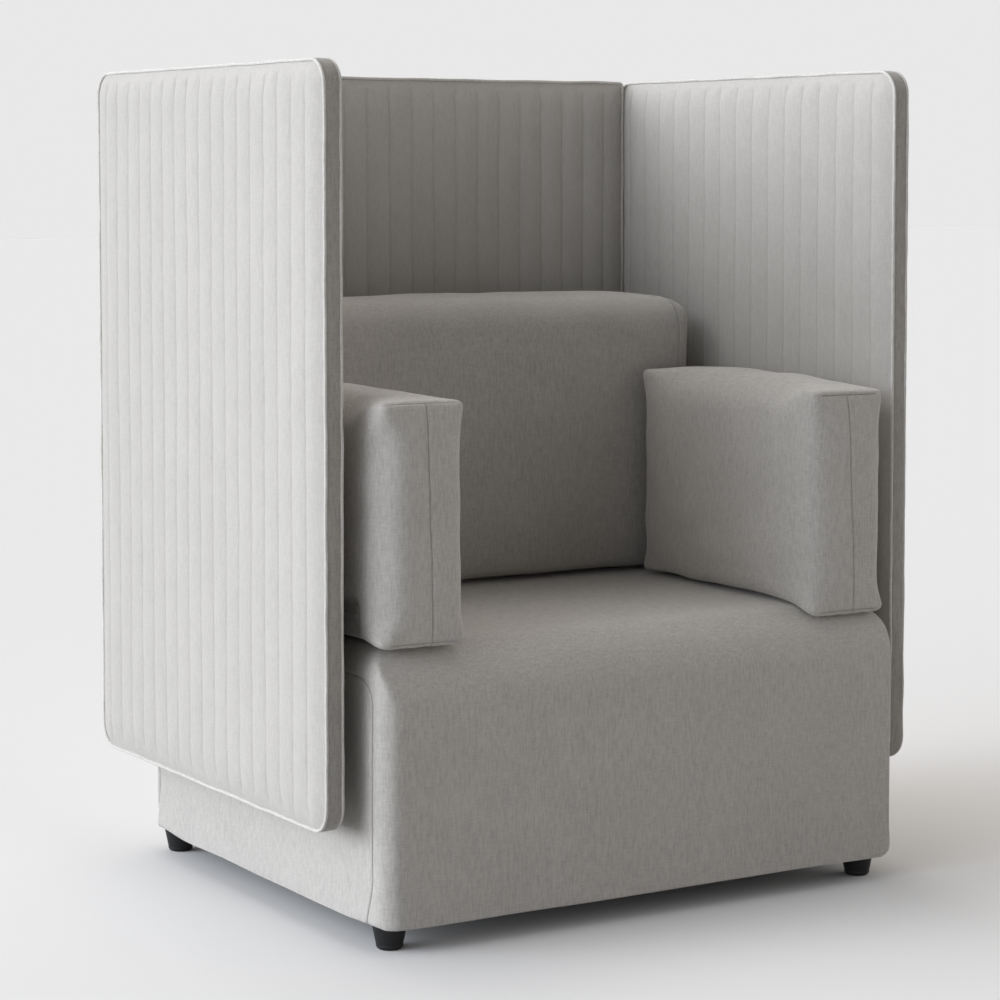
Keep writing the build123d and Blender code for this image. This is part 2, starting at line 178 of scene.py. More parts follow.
@dataclass
class Shape:
    """Points and faces of a mesh, with the distance from each point to its sewn lines."""

    points: np.ndarray
    faces: list
    seams: np.ndarray | None = None

    def normals(self) -> np.ndarray:
        """Outward direction at each point."""
        mesh = bpy.data.meshes.new("measure")
        mesh.from_pydata(self.points.tolist(), [], self.faces)
        found = np.zeros(len(mesh.vertices) * 3, np.float32)
        mesh.vertex_normals.foreach_get("vector", found)
        bpy.data.meshes.remove(mesh)
        return found.reshape(-1, 3).astype(float)

    def pushed(self, distance: np.ndarray | float) -> "Shape":
        """Same shape, moved along its normals.

        Args:
            distance: how far out each point goes.

        Returns:
            The moved shape.
        """
        step = np.broadcast_to(np.asarray(distance, float), (len(self.points),))
        return Shape(self.points + self.normals() * step[:, None], self.faces, self.seams)

    def part(self, keep: np.ndarray) -> "Shape":
        """Some of the faces, with only the points that they use.

        Args:
            keep: truth for each face.

        Returns:
            A smaller shape.
        """
        chosen = np.array([face for face, wanted in zip(self.faces, keep) if wanted])
        used, renumbered = np.unique(chosen, return_inverse=True)
        seams = None if self.seams is None else self.seams[used]
        return Shape(self.points[used], renumbered.reshape(chosen.shape).tolist(), seams)

    def thickened(self, thickness: float) -> "Shape":
        """Closed shell that lies inward of an open sheet of quads.

        Args:
            thickness: thickness of the shell.

        Returns:
            The shell.
        """
        inner = self.points - self.normals() * thickness
        count = len(self.points)
        quads = np.array(self.faces)
        edges = np.concatenate([quads[:, [i, (i + 1) % 4]] for i in range(4)])
        keys = np.sort(edges, axis=1)
        _, places, uses = np.unique(keys, axis=0, return_index=True, return_counts=True)
        rim = edges[places[uses == 1]]
        sides = np.stack([rim[:, 1], rim[:, 0], rim[:, 0] + count, rim[:, 1] + count], axis=1)
        faces = np.concatenate([quads, quads[:, ::-1] + count, sides]).tolist()
        seams = None if self.seams is None else np.concatenate([self.seams, self.seams])
        return Shape(np.concatenate([self.points, inner]), faces, seams)

    def piece(self, name: str, finish: "Finish", body: str, slot: str, *nodes: str) -> bpy.types.Object:
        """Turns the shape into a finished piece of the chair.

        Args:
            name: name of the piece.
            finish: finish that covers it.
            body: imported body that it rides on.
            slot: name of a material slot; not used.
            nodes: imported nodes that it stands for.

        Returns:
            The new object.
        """
        mesh = bpy.data.meshes.new(name)
        mesh.from_pydata(self.points.tolist(), [], self.faces)
        if self.seams is not None:
            attribute = mesh.attributes.new("seams", "FLOAT_VECTOR", "POINT")
            attribute.data.foreach_set("vector", self.seams.astype(np.float32).ravel())
        mesh.shade_smooth()
        mesh.set_sharp_from_angle(angle=math.radians(60))
        mesh.materials.append(finish.material())
        made = bpy.data.objects.new(name, mesh)
        bpy.context.scene.collection.objects.link(made)
        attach(made, body)
        if nodes:
            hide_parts(*nodes)
        LOG.info("%s: %d points", name, len(mesh.vertices))
        return made


def grid_faces(columns: int, rows: int, start: int = 0, closed: bool = False) -> np.ndarray:
    """Quads between points that are stored column by column.

    Args:
        columns: number of columns of points.
        rows: number of points in a column.
        start: number of the first point.
        closed: whether the last column joins the first, and the last row the first.

    Returns:
        One row of four point numbers for each quad.
    """
    index = start + np.arange(columns * rows).reshape(columns, rows)
    if closed:
        index = np.concatenate([index, index[:1]])
        index = np.concatenate([index, index[:, :1]], axis=1)
    quads = (index[:-1, :-1], index[1:, :-1], index[1:, 1:], index[:-1, 1:])
    return np.stack(quads, axis=-1).reshape(-1, 4)


def box_shell(xs: np.ndarray, ys: np.ndarray, zs: np.ndarray) -> Shape:
    """Skin of a box as a grid, wound outwards.

    Args:
        xs: places of the grid lines along X.
        ys: places of the grid lines along Y.
        zs: places of the grid lines along Z.

    Returns:
        The closed skin.
    """
    shape = (len(xs), len(ys), len(zs))
    inside = np.zeros(shape, bool)
    inside[1:-1, 1:-1, 1:-1] = True
    index = np.full(shape, -1)
    index[~inside] = np.arange((~inside).sum())
    places = np.stack(np.meshgrid(xs, ys, zs, indexing="ij"), axis=-1)[~inside]
    faces = []
    for axis in range(3):
        for end, flip in ((0, True), (-1, False)):
            sheet = np.take(index, end, axis=axis)
            quads = np.stack([sheet[:-1, :-1], sheet[1:, :-1], sheet[1:, 1:], sheet[:-1, 1:]], axis=-1)
            quads = quads.reshape(-1, 4)
            reverse = flip if axis != 1 else not flip
            faces.append(quads[:, ::-1] if reverse else quads)
    return Shape(places, np.concatenate(faces).tolist())


def moulded(
    shell: Shape, distance: Callable, core_low: np.ndarray, core_high: np.ndarray, stretch: float
) -> Shape:
    """Box skin drawn in or let out to a soft form.

    Args:
        shell: skin of the box around the form.
        distance: gives the signed distance to the form at each point, negative inside.
        core_low: lowest corner of a box that lies inside the form.
        core_high: highest corner of that box.
        stretch: how far a point may go, as a share of its way from the core to the skin.

    Returns:
        The moulded skin.
    """
    heart = np.clip(shell.points, core_low, core_high)
    reach = shell.points - heart
    near, far = np.zeros(len(heart)), np.full(len(heart), stretch)
    for _ in range(HALVINGS):
        half = (near + far) / 2
        inside = distance(heart + reach * half[:, None]) < 0
        near = np.where(inside, half, near)
        far = np.where(inside, far, half)
    return Shape(heart + reach * near[:, None], shell.faces)


def swept_loop(path: np.ndarray, outward: np.ndarray, up: np.ndarray, profile: np.ndarray) -> Shape:
    """Closed section carried round a closed flat path.

    Args:
        path: points of the path, in order.
        outward: direction in the path's plane, away from its middle, at each point.
        up: direction square to the path's plane.
        profile: points (outward, up) of the section, in order.

    Returns:
        The closed ring.
    """
    across = path[:, None, :] + outward[:, None, :] * profile[None, :, :1]
    points = across + up[None, None, :] * profile[None, :, 1:]
    faces = grid_faces(len(path), len(profile), closed=True)
    return Shape(points.reshape(-1, 3), faces.tolist())


def joined(shapes: list[Shape]) -> Shape:
    """Several shapes as one.

    Args:
        shapes: shapes to join, all with seams or all without.

    Returns:
        One shape that holds them all.
    """
    points, faces, seams, start = [], [], [], 0
    for shape in shapes:
        points.append(shape.points)
        faces += [[start + corner for corner in face] for face in shape.faces]
        if shape.seams is not None:
            seams.append(shape.seams)
        start += len(shape.points)
    return Shape(np.concatenate(points), faces, np.concatenate(seams) if seams else None)


def shape_of(made: bpy.types.Object) -> Shape:
    """Points and faces of an object, with its modifiers applied."""
    evaluated = made.evaluated_get(bpy.context.evaluated_depsgraph_get())
    mesh = bpy.data.meshes.new_from_object(evaluated)
    points = np.zeros(len(mesh.vertices) * 3, np.float32)
    mesh.vertices.foreach_get("co", points)
    faces = [list(face.vertices) for face in mesh.polygons]
    bpy.data.meshes.remove(mesh)
    return Shape(points.reshape(-1, 3).astype(float), faces)


# ---------------------------------------------------------------------------
# Finishes
# ---------------------------------------------------------------------------


class NodeSheet:
    """Short way to add nodes to one tree and to join them."""

    def __init__(self, tree: bpy.types.NodeTree) -> None:
        """Takes the tree to work on."""
        self.tree = tree

    def add(self, kind: str, **settings: object) -> bpy.types.Node:
        """Adds a node.

        Args:
            kind: Blender's name of the node.
            settings: values to set on it.

        Returns:
            The node.
        """
        node = self.tree.nodes.new(kind)
        for name, value in settings.items():
            setattr(node, name, value)
        return node

    def feed(self, socket: bpy.types.NodeSocket, source: object) -> None:
        """Joins a socket to another, or sets its value.

        Args:
            socket: input socket.
            source: output socket or plain value.
        """
        if isinstance(source, bpy.types.NodeSocket):
            self.tree.links.new(source, socket)
        else:
            socket.default_value = source

    def maths(self, operation: str, *values: object, clamp: bool = False) -> bpy.types.NodeSocket:
        """Result of a sum on numbers.

        Args:
            operation: name of the operation.
            values: sockets or numbers.
            clamp: whether the result stays between 0 and 1.

        Returns:
            Socket with the result.
        """
        node = self.add("ShaderNodeMath", operation=operation, use_clamp=clamp)
        for socket, value in zip(node.inputs, values):
            self.feed(socket, value)
        return node.outputs[0]

    def vectors(self, operation: str, *values: object) -> bpy.types.NodeSocket:
        """Result of a sum on vectors.

        Args:
            operation: name of the operation.
            values: sockets or vectors.

        Returns:
            Socket with the result.
        """
        node = self.add("ShaderNodeVectorMath", operation=operation)
        for socket, value in zip(node.inputs, values):
            self.feed(socket, value)
        return node.outputs["Value" if operation == "DOT_PRODUCT" else 0]

    def parts(self, vector: object) -> bpy.types.NodeOutputs:
        """X, Y and Z of a vector.

        Args:
            vector: socket with the vector.

        Returns:
            The three sockets.
        """
        node = self.add("ShaderNodeSeparateXYZ")
        self.feed(node.inputs[0], vector)
        return node.outputs

    def noise(self, place: object, scale: object, detail: float = 2.0) -> bpy.types.NodeSocket:
        """Smooth noise around 0.5.

        Args:
            place: coordinates.
            scale: how fine it is, in waves for each unit.
            detail: how many finer layers it has.

        Returns:
            Socket with the noise.
        """
        node = self.add("ShaderNodeTexNoise")
        self.feed(node.inputs["Vector"], place)
        self.feed(node.inputs["Scale"], scale)
        self.feed(node.inputs["Detail"], detail)
        return node.outputs["Fac"]

    def blend(self, share: object, first: object, second: object) -> bpy.types.NodeSocket:
        """Mix of two numbers.

        Args:
            share: 0 for the first, 1 for the second.
            first: socket or number.
            second: socket or number.

        Returns:
            Socket with the mix.
        """
        node = self.add("ShaderNodeMix", data_type="FLOAT")
        for number, value in ((0, share), (2, first), (3, second)):
            self.feed(node.inputs[number], value)
        return node.outputs[0]

    def shader(self, kind: str, colour: object) -> bpy.types.NodeSocket:
        """Shader of one colour.

        Args:
            kind: Blender's name of the node.
            colour: socket or colour.

        Returns:
            Socket with the shader.
        """
        node = self.add(kind)
        self.feed(node.inputs["Color"], colour)
        return node.outputs[0]

    def mixed(self, share: object, first: object, second: object) -> bpy.types.NodeSocket:
        """Mix of two shaders.

        Args:
            share: 0 for the first, 1 for the second.
            first: socket of a shader.
            second: socket of a shader.

        Returns:
            Socket with the mix.
        """
        node = self.add("ShaderNodeMixShader")
        for socket, source in zip(node.inputs, (share, first, second)):
            self.feed(socket, source)
        return node.outputs[0]

    def tinted(self, colour: object, amount: object) -> bpy.types.NodeSocket:
        """A colour made lighter or darker.

        Args:
            colour: socket or colour.
            amount: 1 leaves it as it is.

        Returns:
            Socket with the new colour.
        """
        node = self.add("ShaderNodeVectorMath", operation="SCALE")
        self.feed(node.inputs[0], colour)
        self.feed(node.inputs["Scale"], amount)
        return node.outputs[0]

    def mapped(self, value: object, low: float, high: float, first: float, last: float) -> object:
        """A number eased from one range to another.

        Args:
            value: socket to map.
            low: where the result leaves its first value.
            high: where the result reaches its last value.
            first: result at low.
            last: result at high.

        Returns:
            Socket with the result.
        """
        node = self.add("ShaderNodeMapRange", interpolation_type="SMOOTHSTEP")
        for socket, number in zip(node.inputs, (value, low, high, first, last)):
            self.feed(socket, number)
        return node.outputs[0]


class EffectGroup:
    """A shader node group with named inputs and outputs, built once."""

    kinds = {float: "NodeSocketFloat", tuple: "NodeSocketVector", str: "NodeSocketColor"}

    def __init__(self, name: str, inputs: dict[str, object], outputs: dict[str, type]) -> None:
        """Makes the group's tree and its sockets.

        Args:
            name: name of the group.
            inputs: name and default of each input; a list is a colour.
            outputs: name and type of each output.
        """
        self.tree = bpy.data.node_groups.new(name, "ShaderNodeTree")
        for label, default in inputs.items():
            kind = "NodeSocketColor" if isinstance(default, list) else self.kinds[type(default)]
            socket = self.tree.interface.new_socket(label, in_out="INPUT", socket_type=kind)
            socket.default_value = default
        for label, kind in outputs.items():
            self.tree.interface.new_socket(label, in_out="OUTPUT", socket_type=self.kinds[kind])
        self.sheet = NodeSheet(self.tree)
        self.inputs = self.sheet.add("NodeGroupInput").outputs
        self.results = self.sheet.add("NodeGroupOutput").inputs

    def place(self, sheet: NodeSheet, **values: object) -> bpy.types.NodeOutputs:
        """Uses the group in a material.

        Args:
            sheet: tree of the material.
            values: socket or value for each input, with spaces as underscores.

        Returns:
            The outputs of the group in that material.
        """
        node = sheet.add("ShaderNodeGroup")
        node.node_tree = self.tree
        for label, value in values.items():
            sheet.feed(node.inputs[label.replace("_", " ")], value)
        return node.outputs

    def give(self, **results: bpy.types.NodeSocket) -> None:
        """Joins the group's outputs.

        Args:
            results: socket for each output.
        """
        for label, source in results.items():
            self.sheet.feed(self.results[label], source)


class Effects:
    """The node groups that the finishes share, each made when it is first used."""

    @staticmethod
    @cache
    def melange() -> EffectGroup:
        """Cloth woven from mottled yarn: uneven threads both ways and soft clouds of tone."""
        inputs = {
            "Place": (0.0, 0.0, 0.0), "Facing": (0.0, 0.0, 1.0), "Colour": [0.5, 0.5, 0.5, 1.0],
            "Yarn width": 0.003, "Mottle": 0.3,
        }
        drawn_out, weft_fineness, warp_share, weft_share = 0.16, 1.3, 0.64, 0.36
        thread_contrast, fleck_contrast, cloud_contrast, clouds_per_metre = 3.0, 0.2, 0.1, 14.0
        group = EffectGroup("melange_cloth", inputs, {"Colour": str, "Height": float})
        sheet, given = group.sheet, group.inputs
        fine = sheet.maths("DIVIDE", 1.0, given["Yarn width"])
        upward = sheet.maths("ABSOLUTE", sheet.parts(given["Facing"])[2])
        level = sheet.mapped(upward, 0.55, 0.85, 0.0, 1.0)
        upright = sheet.vectors("MULTIPLY", given["Place"], (1.0, 1.0, drawn_out))
        lengthwise = sheet.vectors("MULTIPLY", given["Place"], (1.0, drawn_out, 1.0))
        crosswise = sheet.vectors("MULTIPLY", given["Place"], (drawn_out, drawn_out, 1.0))
        warp = sheet.blend(level, sheet.noise(upright, fine), sheet.noise(lengthwise, fine))
        weft = sheet.noise(crosswise, sheet.maths("MULTIPLY", fine, weft_fineness))
        threads = sheet.maths("MULTIPLY_ADD", warp, warp_share, sheet.maths("MULTIPLY", weft, weft_share))
        tone = sheet.maths("MULTIPLY", sheet.maths("SUBTRACT", threads, 0.5), given["Mottle"])
        fleck = sheet.maths("MULTIPLY", sheet.mapped(warp, 0.6, 0.74, 0.0, 1.0), given["Mottle"])
        cloud = sheet.maths("SUBTRACT", sheet.noise(given["Place"], clouds_per_metre, 3.0), 0.5)
        amount = sheet.maths("MULTIPLY_ADD", tone, thread_contrast, 1.0)
        amount = sheet.maths("MULTIPLY_ADD", cloud, cloud_contrast, amount)
        amount = sheet.maths("MULTIPLY_ADD", fleck, -fleck_contrast, amount)
        group.give(Colour=sheet.tinted(given["Colour"], amount), Height=threads)
        return group

    @staticmethod
    @cache
    def sewing() -> EffectGroup:
        """Sewn line: a narrow crease with stitches, drawn from the distance to the seam; its mask gives where
        the line is painted darker, partly for its thread and partly as painted crease shade.
        """
        inputs = {
            "Place": (0.0, 0.0, 0.0), "Seams": (1.0, 1.0, 1.0), "Line width": 0.0009, "Stitch": 0.005,
        }
        stitch_contrast = 0.12
        group = EffectGroup("sewn_line", inputs, {"Mask": float, "Depth": float})
        sheet, given = group.sheet, group.inputs
        sizes = sheet.parts(sheet.vectors("ABSOLUTE", given["Seams"]))
        nearest = sheet.maths("MINIMUM", sheet.maths("MINIMUM", sizes[0], sizes[1]), sizes[2])
        share = sheet.maths("DIVIDE", nearest, given["Line width"])
        mask = sheet.maths("EXPONENT", sheet.maths("MULTIPLY", sheet.maths("MULTIPLY", share, share), -1.0))
        turns = sheet.maths("DIVIDE", sheet.parts(given["Place"])[2], given["Stitch"])
        wave = sheet.maths("SINE", sheet.maths("MULTIPLY", turns, 2 * math.pi))
        stitch = sheet.maths("MULTIPLY_ADD", wave, stitch_contrast, 1.0 - stitch_contrast)
        group.give(Mask=sheet.maths("MULTIPLY", mask, stitch), Depth=mask)
        return group

    @staticmethod
    @cache
    def speckle() -> EffectGroup:
        """Uneven tone and surface at two sizes, for foam, felt, plastic and metal."""
        inputs = {
            "Place": (0.0, 0.0, 0.0), "Colour": [0.5, 0.5, 0.5, 1.0], "Grain": 0.003, "Contrast": 0.2,
            "Roughness": 0.5,
        }
        blotches_per_metre, blotch_share, middle, rough_contrast = 22.0, 0.6, 0.8, 0.25
        group = EffectGroup("speckle", inputs, {"Colour": str, "Roughness": float, "Height": float})
        sheet, given = group.sheet, group.inputs
        small = sheet.noise(given["Place"], sheet.maths("DIVIDE", 1.0, given["Grain"]), 4.0)
        large = sheet.noise(given["Place"], blotches_per_metre, 3.0)
        change = sheet.maths("SUBTRACT", sheet.maths("MULTIPLY_ADD", large, blotch_share, small), middle)
        group.give(
            Colour=sheet.tinted(given["Colour"], sheet.maths("MULTIPLY_ADD", change, given["Contrast"], 1.0)),
            Roughness=sheet.maths("MULTIPLY_ADD", change, rough_contrast, given["Roughness"]),
            Height=small,
        )
        return group

    @staticmethod
    @cache
    def timber() -> EffectGroup:
        """Wood grain that runs along one axis, with darker late wood."""
        inputs = {
            "Place": (0.0, 0.0, 0.0), "Stretch": (1.0, 1.0, 1.0), "Colour": [0.5, 0.4, 0.3, 1.0],
            "Contrast": 0.3,
        }
        bends_per_metre, rings_per_bend, pores_per_metre, ring_share = 9.0, 60.0, 260.0, 0.35
        group = EffectGroup("timber_grain", inputs, {"Colour": str, "Roughness": float, "Height": float})
        sheet, given = group.sheet, group.inputs
        place = sheet.vectors("MULTIPLY", given["Place"], given["Stretch"])
        bend = sheet.noise(place, bends_per_metre, 3.0)
        rings = sheet.maths("SINE", sheet.maths("MULTIPLY", bend, rings_per_bend))
        pores = sheet.noise(place, pores_per_metre, 3.0)
        change = sheet.maths("MULTIPLY_ADD", rings, ring_share, sheet.maths("SUBTRACT", pores, 0.5))
        group.give(
            Colour=sheet.tinted(given["Colour"], sheet.maths("MULTIPLY_ADD", change, given["Contrast"], 1.0)),
            Roughness=sheet.maths("MULTIPLY_ADD", pores, 0.2, 0.5),
            Height=pores,
        )
        return group


@dataclass(frozen=True)
class Finish:
    """A finish with a name and a colour, as linear red, green and blue."""

    name: str
    colour: tuple[float, float, float]

    def material(self) -> bpy.types.Material:
        """The finish as a material, made when it is first used."""
        known = bpy.data.materials.get(self.name)
        if known:
            return known
        made = bpy.data.materials.new(self.name)
        made.use_nodes = True
        made.node_tree.nodes.clear()
        sheet = NodeSheet(made.node_tree)
        shader = sheet.add("ShaderNodeBsdfPrincipled")
        output = sheet.add("ShaderNodeOutputMaterial")
        sheet.feed(output.inputs["Surface"], shader.outputs[0])
        self.dress(sheet, shader, sheet.add("ShaderNodeTexCoord").outputs["Object"])
        return made

    def dress(self, sheet: NodeSheet, shader: bpy.types.Node, place: bpy.types.NodeSocket) -> None:
        """Sets the shader up. Each kind of finish does this in its own way.

        Args:
            sheet: tree of the material.
            shader: its surface shader.
            place: coordinates on the piece.
        """
        raise NotImplementedError

    def rgba(self) -> list[float]:
        """Colour with full cover."""
        return [*self.colour, 1.0]

    @staticmethod
    def bump(
        sheet: NodeSheet, shader: bpy.types.Node, height: object, depth: float, below: object = None
    ) -> bpy.types.NodeSocket:
        """Fine relief on a surface.

        Args:
            sheet: tree of the material.
            shader: shader whose normal it changes.
            height: socket with the relief, from 0 to 1.
            depth: depth of the relief in metres.
            below: normal of a coarser relief, if there is one.

        Returns:
            Socket with the changed normal.
        """
        node = sheet.add("ShaderNodeBump")
        sheet.feed(node.inputs["Height"], height)
        sheet.feed(node.inputs["Distance"], depth)
        if below is not None:
            sheet.feed(node.inputs["Normal"], below)
        sheet.feed(shader.inputs["Normal"], node.outputs[0])
        return node.outputs[0]


@dataclass(frozen=True)
class Cloth(Finish):
    """Upholstery cloth of mottled wool-like yarn."""

    yarn_width: float = 2.6 * MM
    mottle: float = 0.3
    relief: float = 0.2 * MM
    sheen: float = 0.4
    sheen_roughness: float = 0.45
    roughness: float = 0.92
    specular: float = 0.18

    def dress(self, sheet: NodeSheet, shader: bpy.types.Node, place: bpy.types.NodeSocket) -> None:
        """Sets up woven threads and soft sheen."""
        self.woven(sheet, shader, place)

    def woven(self, sheet: NodeSheet, shader: bpy.types.Node, place: bpy.types.NodeSocket) -> tuple:
        """Sets up the cloth itself, without sewn lines.

        Args:
            sheet: tree of the material.
            shader: its surface shader.
            place: coordinates on the piece.

        Returns:
            Sockets with the colour of the cloth and the normal of its weave.
        """
        facing = sheet.add("ShaderNodeNewGeometry").outputs["Normal"]
        cloth = Effects.melange().place(
            sheet, Place=place, Facing=facing, Colour=self.rgba(),
            Yarn_width=self.yarn_width, Mottle=self.mottle,
        )
        sheet.feed(shader.inputs["Base Color"], cloth["Colour"])
        sheet.feed(shader.inputs["Roughness"], self.roughness)
        sheet.feed(shader.inputs["Specular IOR Level"], self.specular)
        sheet.feed(shader.inputs["Sheen Weight"], self.sheen)
        sheet.feed(shader.inputs["Sheen Roughness"], self.sheen_roughness)
        return cloth["Colour"], self.bump(sheet, shader, cloth["Height"], self.relief)


@dataclass(frozen=True)
class SewnCloth(Cloth):
    """Cloth with sewn lines where the mesh has them, painted darker along each line: partly its thread,
    partly painted crease shade.
    """

    line_width: float = 1.1 * MM
    # how much darker the sewn lines are painted: the thread's own tone plus painted crease shade
    line_thread_and_painted_shade: float = 0.5
    line_depth: float = 1.0 * MM
    stitch: float = 5.5 * MM

    def dress(self, sheet: NodeSheet, shader: bpy.types.Node, place: bpy.types.NodeSocket) -> None:
        """Sets up the cloth, paints its sewn lines darker (the thread plus painted crease shade) and presses
        them in.
        """
        colour, weave = self.woven(sheet, shader, place)
        seams = sheet.add("ShaderNodeAttribute", attribute_name="seams").outputs["Vector"]
        sewn = Effects.sewing().place(
            sheet, Place=place, Seams=seams, Line_width=self.line_width, Stitch=self.stitch,
        )
        # painted crease shade: the sewn lines are painted darker, partly for the thread and partly for the
        # shade in the crease
        shade = sheet.maths("MULTIPLY_ADD", sewn["Mask"], -self.line_thread_and_painted_shade, 1.0)
        sheet.feed(shader.inputs["Base Color"], sheet.tinted(colour, shade))
        self.bump(sheet, shader, sheet.maths("MULTIPLY", sewn["Depth"], -1.0), self.line_depth, weave)


@dataclass(frozen=True)
class Grainy(Finish):
    """Plain stuff with uneven tone and surface, such as foam, felt, plastic or metal."""

    grain: float = 3.0 * MM
    contrast: float = 0.2
    roughness: float = 0.6
    relief: float = 0.2 * MM
    metallic: float = 0.0

    def dress(self, sheet: NodeSheet, shader: bpy.types.Node, place: bpy.types.NodeSocket) -> None:
        """Sets up speckled tone, roughness and relief."""
        stuff = Effects.speckle().place(
            sheet, Place=place, Colour=self.rgba(), Grain=self.grain, Contrast=self.contrast,
            Roughness=self.roughness,
        )
        sheet.feed(shader.inputs["Base Color"], stuff["Colour"])
        sheet.feed(shader.inputs["Roughness"], stuff["Roughness"])
        sheet.feed(shader.inputs["Metallic"], self.metallic)
        self.bump(sheet, shader, stuff["Height"], self.relief)


@dataclass(frozen=True)
class Timber(Finish):
    """Wood whose grain runs along the axis with the smallest stretch."""

    stretch: tuple[float, float, float] = (1.0, 1.0, 0.06)
    contrast: float = 0.3

    def dress(self, sheet: NodeSheet, shader: bpy.types.Node, place: bpy.types.NodeSocket) -> None:
        """Sets up grain and pores."""
        wood = Effects.timber().place(
            sheet, Place=place, Stretch=self.stretch, Colour=self.rgba(), Contrast=self.contrast,
        )
        sheet.feed(shader.inputs["Base Color"], wood["Colour"])
        sheet.feed(shader.inputs["Roughness"], wood["Roughness"])
        self.bump(sheet, shader, wood["Height"], 0.1 * MM)


CLOTH_COLOUR = (0.51, 0.488, 0.457)
# each sewn cloth's lines are painted darker by its line setting: thread plus painted crease shade
SCREEN_CLOTH = SewnCloth(
    "screen_cloth", CLOTH_COLOUR, mottle=0.14, line_thread_and_painted_shade=0.07, line_width=2.2 * MM, line_depth=0.15 * MM,
)
SEAT_CLOTH = SewnCloth("seat_cloth", CLOTH_COLOUR, line_thread_and_painted_shade=0.35)
CUSHION_CLOTH = SewnCloth("cushion_cloth", CLOTH_COLOUR, line_width=0.9 * MM, line_thread_and_painted_shade=0.35)
BORDER_CLOTH = Cloth("border_cloth", (0.38, 0.36, 0.333))
PIPING_CLOTH = Cloth("piping_cloth", (0.64, 0.62, 0.585), yarn_width=1.6 * MM)
ZIP_TAPE = Cloth("zip_tape", (0.3, 0.29, 0.275), yarn_width=1.0 * MM)
FOAM = Grainy("foam", (0.74, 0.68, 0.52), grain=2.0 * MM, contrast=0.25, roughness=0.95, relief=0.6 * MM)
WADDING = Grainy("wadding", (0.82, 0.82, 0.8), grain=6.0 * MM, contrast=0.1, roughness=1.0, relief=1.0 * MM)
FELT = Grainy("felt", (0.1, 0.1, 0.105), grain=1.5 * MM, contrast=0.7, roughness=1.0, relief=0.5 * MM)
LINING = Grainy("lining", (0.012, 0.012, 0.013), grain=1.2 * MM, contrast=0.5, roughness=0.9)
PLYWOOD = Timber("plywood", (0.5, 0.33, 0.17), stretch=(1.0, 1.0, 0.08))
RAIL_WOOD = Timber("rail_wood", (0.48, 0.32, 0.17), stretch=(0.06, 1.0, 1.0))
DOWEL_WOOD = Timber("dowel_wood", (0.56, 0.38, 0.2), stretch=(0.1, 0.1, 1.0), contrast=0.2)
SPRING_STEEL = Grainy(
    "spring_steel", (0.4, 0.4, 0.42), grain=1.0 * MM, contrast=0.3, roughness=0.4, metallic=1.0,
)
ZINC_STEEL = Grainy(
    "zinc_steel", (0.62, 0.62, 0.6), grain=4.0 * MM, contrast=0.2, roughness=0.35, metallic=1.0,
)
BLACK_STEEL = Grainy(
    "black_steel", (0.02, 0.02, 0.02), grain=1.0 * MM, contrast=0.3, roughness=0.45, metallic=0.6,
)
ZIP_METAL = Grainy("zip_metal", (0.3, 0.3, 0.3), grain=1.5 * MM, contrast=0.4, roughness=0.4, metallic=1.0)
CLIP_PLASTIC = Grainy("clip_plastic", (0.7, 0.7, 0.66), grain=1.0 * MM, contrast=0.05, roughness=0.5)
FOOT_PLASTIC = Grainy(
    "foot_plastic", (0.010, 0.010, 0.011), grain=0.8 * MM, contrast=0.3, roughness=0.42, relief=0.05 * MM,
)

CARRIED_NODES = {
    "seat_felt": FELT, "base_corner_posts": PLYWOOD,
    "base_side_board_right": PLYWOOD, "base_side_board_left": PLYWOOD,
    "base_front_rail": RAIL_WOOD, "base_back_rail": RAIL_WOOD, "base_centre_rail": PLYWOOD,
    "base_frame_dowels": DOWEL_WOOD, "seat_springs": SPRING_STEEL, "spring_clips": CLIP_PLASTIC,
    "foot_inserts": ZINC_STEEL, "screen_corner_screws": ZINC_STEEL, "screen_bolts": BLACK_STEEL,
    "screen_spacers": BLACK_STEEL, "screen_tee_nuts": ZINC_STEEL,
}
NAMED_FINISHES = {
    "_screen_board": PLYWOOD, "_screen_foam": FOAM, "_zip": ZIP_TAPE, "_zip_slider": ZIP_METAL,
}
STARTING_FINISHES = {"foot_pad_": FOOT_PLASTIC, "foot_stud_": ZINC_STEEL}


def finish_for(node: str) -> Finish | None:
    """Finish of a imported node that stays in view."""
    if node in CARRIED_NODES:
        return CARRIED_NODES[node]
    for start, finish in STARTING_FINISHES.items():
        if node.startswith(start):
            return finish
    for end, finish in NAMED_FINISHES.items():
        if node.endswith(end):
            return finish
    return None


def dress_packed_nodes() -> None:
    """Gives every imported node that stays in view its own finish."""
    for name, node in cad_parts.items():
        finish = finish_for(name)
        if finish is None or node.hide_render:
            continue
        for slot in node.material_slots:
            slot.material = finish.material()
        LOG.info("%s: dressed in %s", name, finish.name)


# ---------------------------------------------------------------------------
# Base
# ---------------------------------------------------------------------------


